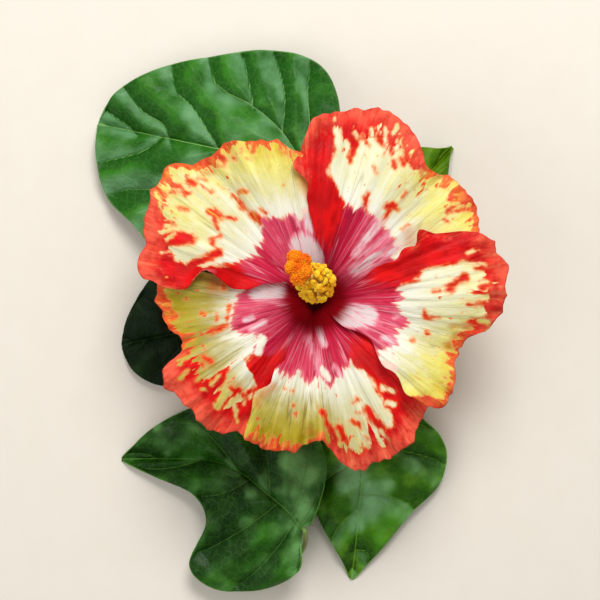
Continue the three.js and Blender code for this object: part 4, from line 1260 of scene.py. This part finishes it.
def makeCalyx():
    marks = {}

    def place(across, along):
        turn = math.pi * across
        lobe = np.abs(np.cos(calyx["lobes"] * turn / 2)) ** 0.8
        flat = lerp(calyx["base"] + 0.6, calyx["rim"] - 0.4, along**0.85)
        lobeBase = calyx["base"] + 14
        risen = np.maximum(flat - lobeBase, 0)
        height = flat - risen * lerp(calyx["notch"], 0, lobe) * smoothstep(risen, -2, 5)
        radius = funnelRadius(np.maximum(height, 27.0)) + lerp(1.6, 2.3, smoothstep(height, 38, 48))
        radius += calyx["standOff"]
        bowl = smoothstep(flat, calyx["base"], 27.5)
        radius = radius * lerp(0.45, 1, bowl)
        keel = np.cos(calyx["lobes"] * 3 * turn)
        radius += 0.12 * keel * bowl
        marks["ribs"] = np.sin(calyx["lobes"] * 1.5 * turn)
        return np.stack([radius * np.cos(turn), radius * np.sin(turn), height], 1)

    piece, _, along = gridPiece("calyx_cup", columns=200, rows=60, place=place)
    writeAttribute(piece, "along", along)
    writeAttribute(piece, "ribs", marks["ribs"])
    inEditMode(piece, mergeDoubles, faceOut)
    applyModifier(piece, "SOLIDIFY", thickness=calyx["thickness"] * mm, offset=0)
    floorDisc = tubePiece("calyx_floor", [[0, 0, 22.1], [0, 0, 23.3]],
                          lambda along, turn: calyx["floorRadius"] + 0 * along,
                          sides=40, rings=4, reference=(1, 0, 0))
    piece = joinPieces("calyx_cup", [piece, floorDisc])
    settle(piece, "calyx", "green_stalk", sepalFinish())

    blades = []
    for i in range(bracts["count"]):
        bearing = i * 2 * math.pi / bracts["count"] + 0.3

        def bractPlace(across, along):
            arched = np.sin(along * bracts["bend"]) / math.sin(bracts["bend"])
            out = bracts["foot"] + bracts["reach"] * arched
            half = bracts["width"] / 2 * np.sqrt(1.02 - along) * across
            height = bracts["base"] + 0.8 + bracts["rise"] * along**2.2 - 0.35 * across**2
            return np.stack([out * math.cos(bearing) - half * math.sin(bearing),
                             out * math.sin(bearing) + half * math.cos(bearing), height], 1)

        blade, across, along = gridPiece(f"bract_{i}", columns=12, rows=44, place=bractPlace)
        writeAttribute(blade, "along", along)
        writeAttribute(blade, "ribs", across)
        applyModifier(blade, "SOLIDIFY", thickness=bracts["thickness"] * mm, offset=0)
        blades.append(blade)
    ring = tubePiece("bract_ring", [[0, 0, 20.15], [0, 0, 20.9], [0, 0, 21.7]],
                     lambda along, turn: bracts["ringRadius"] - 0.5 * (2 * along - 1) ** 2,
                     sides=40, rings=8, reference=(1, 0, 0))
    writeAttribute(ring, "ribs", np.ones(len(ring.data.vertices)))
    piece = joinPieces("bract_star", [*blades, ring])
    settle(piece, "epicalyx", "green_stalk", sepalFinish())
    print("calyx and bracts made")


makeCalyx()

# column, anthers and stigma
column = {
    "route": [[0, 0, 24.4], [0, 0.5, 40], [0.3, 2.5, 54], [0.5, 4.5, 63.7]],
    "baseRadius": 2.4, "tipRadius": 2.0, "foot": 1.8, "ridge": 0.072,
}
antherHead = {
    "route": [[0.5, 4.6, 64.1], [-0.5, 7.5, 74], [-2.6, 10.3, 84.5]],
    "count": 170, "reach": 8.3, "sizes": (0.85, 1.45), "filament": 0.26, "coreRadius": 2.0,
}
stigma = {
    "style": [[-2.8, 10.5, 85.1], [-4.8, 11.5, 88.5]],
    "pads": [[-9.0, 17.6, 91.6, 3.3], [-5.6, 16.4, 93.0, 3.0], [-9.8, 13.6, 92.6, 3.3],
             [-5.4, 12.0, 93.6, 3.2], [-7.8, 9.4, 92.2, 3.2]],
    "papillae": 110, "papillaSizes": (0.3, 0.72), "styleRadius": 0.75,
}


def columnFinish():
    made = Finish("column_skin", Coat_Weight=0.1)
    place, along = made.objectPlace(), made.attribute("along")
    broad = made.noise(place, 160.0, 3.0)
    towardsHead = (along + broad * 0.3).rise(0.2, 0.8)
    colour = made.mix(towardsHead, paint(150, 20, 40), paint(236, 190, 170))
    normal = made.bump(broad, 0.0003)
    return made.done(Base_Color=colour, Roughness=0.45 + broad * 0.1, Normal=normal)


def pollenFinish(name, bright, deep, pale, grainScale):
    made = Finish(name, Specular_IOR_Level=0.2)
    place = made.objectPlace()
    grains = made.cells(place, grainScale, "F1")
    broad = made.noise(place, 240.0, 3.0)
    colour = made.mix(broad.rise(0.38, 0.62), paint(*deep), paint(*bright))
    # painted highlight: the pale colour on each grain's top; painted shade: the deep colour between
    # the grains
    colour = made.mix(grains.rise(0.32, 0.1) * 0.6, colour, paint(*pale))
    colour = made.mix(grains.rise(0.5, 0.75) * 0.4, colour, paint(*deep))
    normal = made.bump(grains.rise(0.6, 0.0) + broad * 0.4, 0.0002)
    return made.done(Base_Color=colour, Roughness=0.75 + broad * 0.15, Normal=normal)


def stretchBetween(template, start, end, width):
    start, end = np.asarray(start, float), np.asarray(end, float)
    ahead = Vector(end - start)
    turn = ahead.to_track_quat("Z", "Y")
    return copyOf(template, (start + end) / 2, turn, (width, width, ahead.length))


def makeColumn():
    def radiusAt(along, turn):
        taper = lerp(column["baseRadius"], column["tipRadius"], along) * 0.97
        ridges = column["ridge"] * np.cos(5 * turn)
        return taper + ridges + column["foot"] * np.exp(-along / 0.03)

    piece = tubePiece("column_tube", column["route"], radiusAt, sides=40, rings=80,
                      reference=(1, 0, 0))
    settle(piece, "staminal_column", "column", columnFinish())


def makeAnthers():
    # one anther: a kidney with a groove along its length
    bpy.ops.object.select_all(action="DESELECT")
    bpy.ops.mesh.primitive_ico_sphere_add(subdivisions=3, radius=1, location=(0, 0, 0))
    anther = bpy.context.active_object
    wide, long, high = meshPlaces(anther).T
    groove = 1 - 0.38 * np.exp(-((wide / 0.28) ** 2)) * (high > -0.3)
    bend = 0.35 * long**2
    shaped = np.stack([wide * 1.05, long * 1.35, high * 0.85 * groove - bend], 1)
    anther.data.vertices.foreach_set("co", (shaped * mm).astype(np.float32).ravel())
    bpy.ops.mesh.primitive_cylinder_add(vertices=7, radius=mm, depth=mm, location=(0, 0, 0))
    filament = bpy.context.active_object

    lobes, threads = [], []
    for i in range(antherHead["count"]):
        share = 0.03 + 0.95 * (i + 0.5) / antherHead["count"]
        axis = splineAt(antherHead["route"], share)
        out = antherHead["reach"] * math.sqrt(max(0.08, 1 - (1.95 * share - 0.95) ** 2))
        out *= chance.uniform(0.8, 1.0)
        bearing = i * goldenAngle + chance.uniform(-0.35, 0.35)
        spot = axis + np.array([out * math.cos(bearing), out * math.sin(bearing),
                                chance.uniform(-2.0, 2.0)])
        size = chance.uniform(*antherHead["sizes"])
        facing = Vector(spot - axis + np.array([0, 0, 1.5])).to_track_quat("Z", "Y")
        turn = facing @ Euler((chance.uniform(-0.5, 0.5), chance.uniform(-0.5, 0.5),
                               chance.uniform(0, 3.1))).to_quaternion()
        lobes.append(copyOf(anther, spot, turn, (size, size, size)))
        foot = axis - np.array([0, 0, 2.0])
        threads.append(stretchBetween(filament, foot, spot, antherHead["filament"]))
    head = joinPieces("anther_cluster", lobes)
    head.data.materials.append(
        pollenFinish("pollen_yellow", (255, 224, 48), (255, 178, 12), (255, 246, 150), 1500.0))
    core = tubePiece("head_core", antherHead["route"],
                     lambda along, turn: antherHead["coreRadius"] - 0.9 * along,
                     sides=24, rings=30, reference=(1, 0, 0))
    threads = joinPieces("filaments", [core, *threads])
    threads.data.materials.append(petioleFinish("filament_skin", (246, 214, 96), (240, 180, 90)))
    head = joinPieces("anther_cluster", [head, threads])
    for stray in (anther, filament):
        bpy.data.objects.remove(stray)
    settle(head, "anther_head", "anther")
    print("anthers:", antherHead["count"], "lobes,", len(head.data.polygons), "faces")


def makeStigma():
    # each pad is a soft ball set all over with small grains
    bpy.ops.object.select_all(action="DESELECT")
    bpy.ops.mesh.primitive_ico_sphere_add(subdivisions=4, radius=mm, location=(0, 0, 0))
    pad = bpy.context.active_object
    bpy.ops.mesh.primitive_ico_sphere_add(subdivisions=2, radius=mm, location=(0, 0, 0))
    papilla = bpy.context.active_object
    parts, styles = [], []
    for i, (x, y, z, radius) in enumerate(stigma["pads"]):
        spot = np.array([x, y, z])
        padSize = (radius, radius * 0.95, radius * 0.85)
        parts.append(copyOf(pad, spot, Euler((0, 0, i)), padSize))
        for j in range(stigma["papillae"]):
            rise = 1 - 1.5 * (j + 0.5) / stigma["papillae"]
            ring = math.sqrt(1 - rise * rise)
            heading = j * goldenAngle + i
            away = np.array([ring * math.cos(heading), ring * math.sin(heading) * 0.97,
                             rise * 0.88])
            size = chance.uniform(*stigma["papillaSizes"])
            parts.append(copyOf(papilla, spot + away * radius * chance.uniform(0.94, 1.08),
                                Euler(), (size, size, size)))
        style = tubePiece(f"style_{i}", [*stigma["style"], [x, y, z - 1]],
                          lambda along, turn: stigma["styleRadius"] + 0.2 * along,
                          sides=12, rings=12, reference=(1, 0, 0))
        styles.append(style)
    pads = joinPieces("stigma_cluster", parts)
    pads.data.materials.append(
        pollenFinish("stigma_orange", (255, 158, 14), (238, 104, 4), (255, 206, 50), 1300.0))
    stalks = joinPieces("styles", styles)
    stalks.data.materials.append(petioleFinish("style_skin", (244, 196, 120), (230, 120, 60)))
    pads = joinPieces("stigma_cluster", [pads, stalks])
    for stray in (pad, papilla):
        bpy.data.objects.remove(stray)
    settle(pads, "stigma_pads", "stigma")
    print("stigma:", len(pads.data.polygons), "faces")


makeColumn()
makeAnthers()
makeStigma()
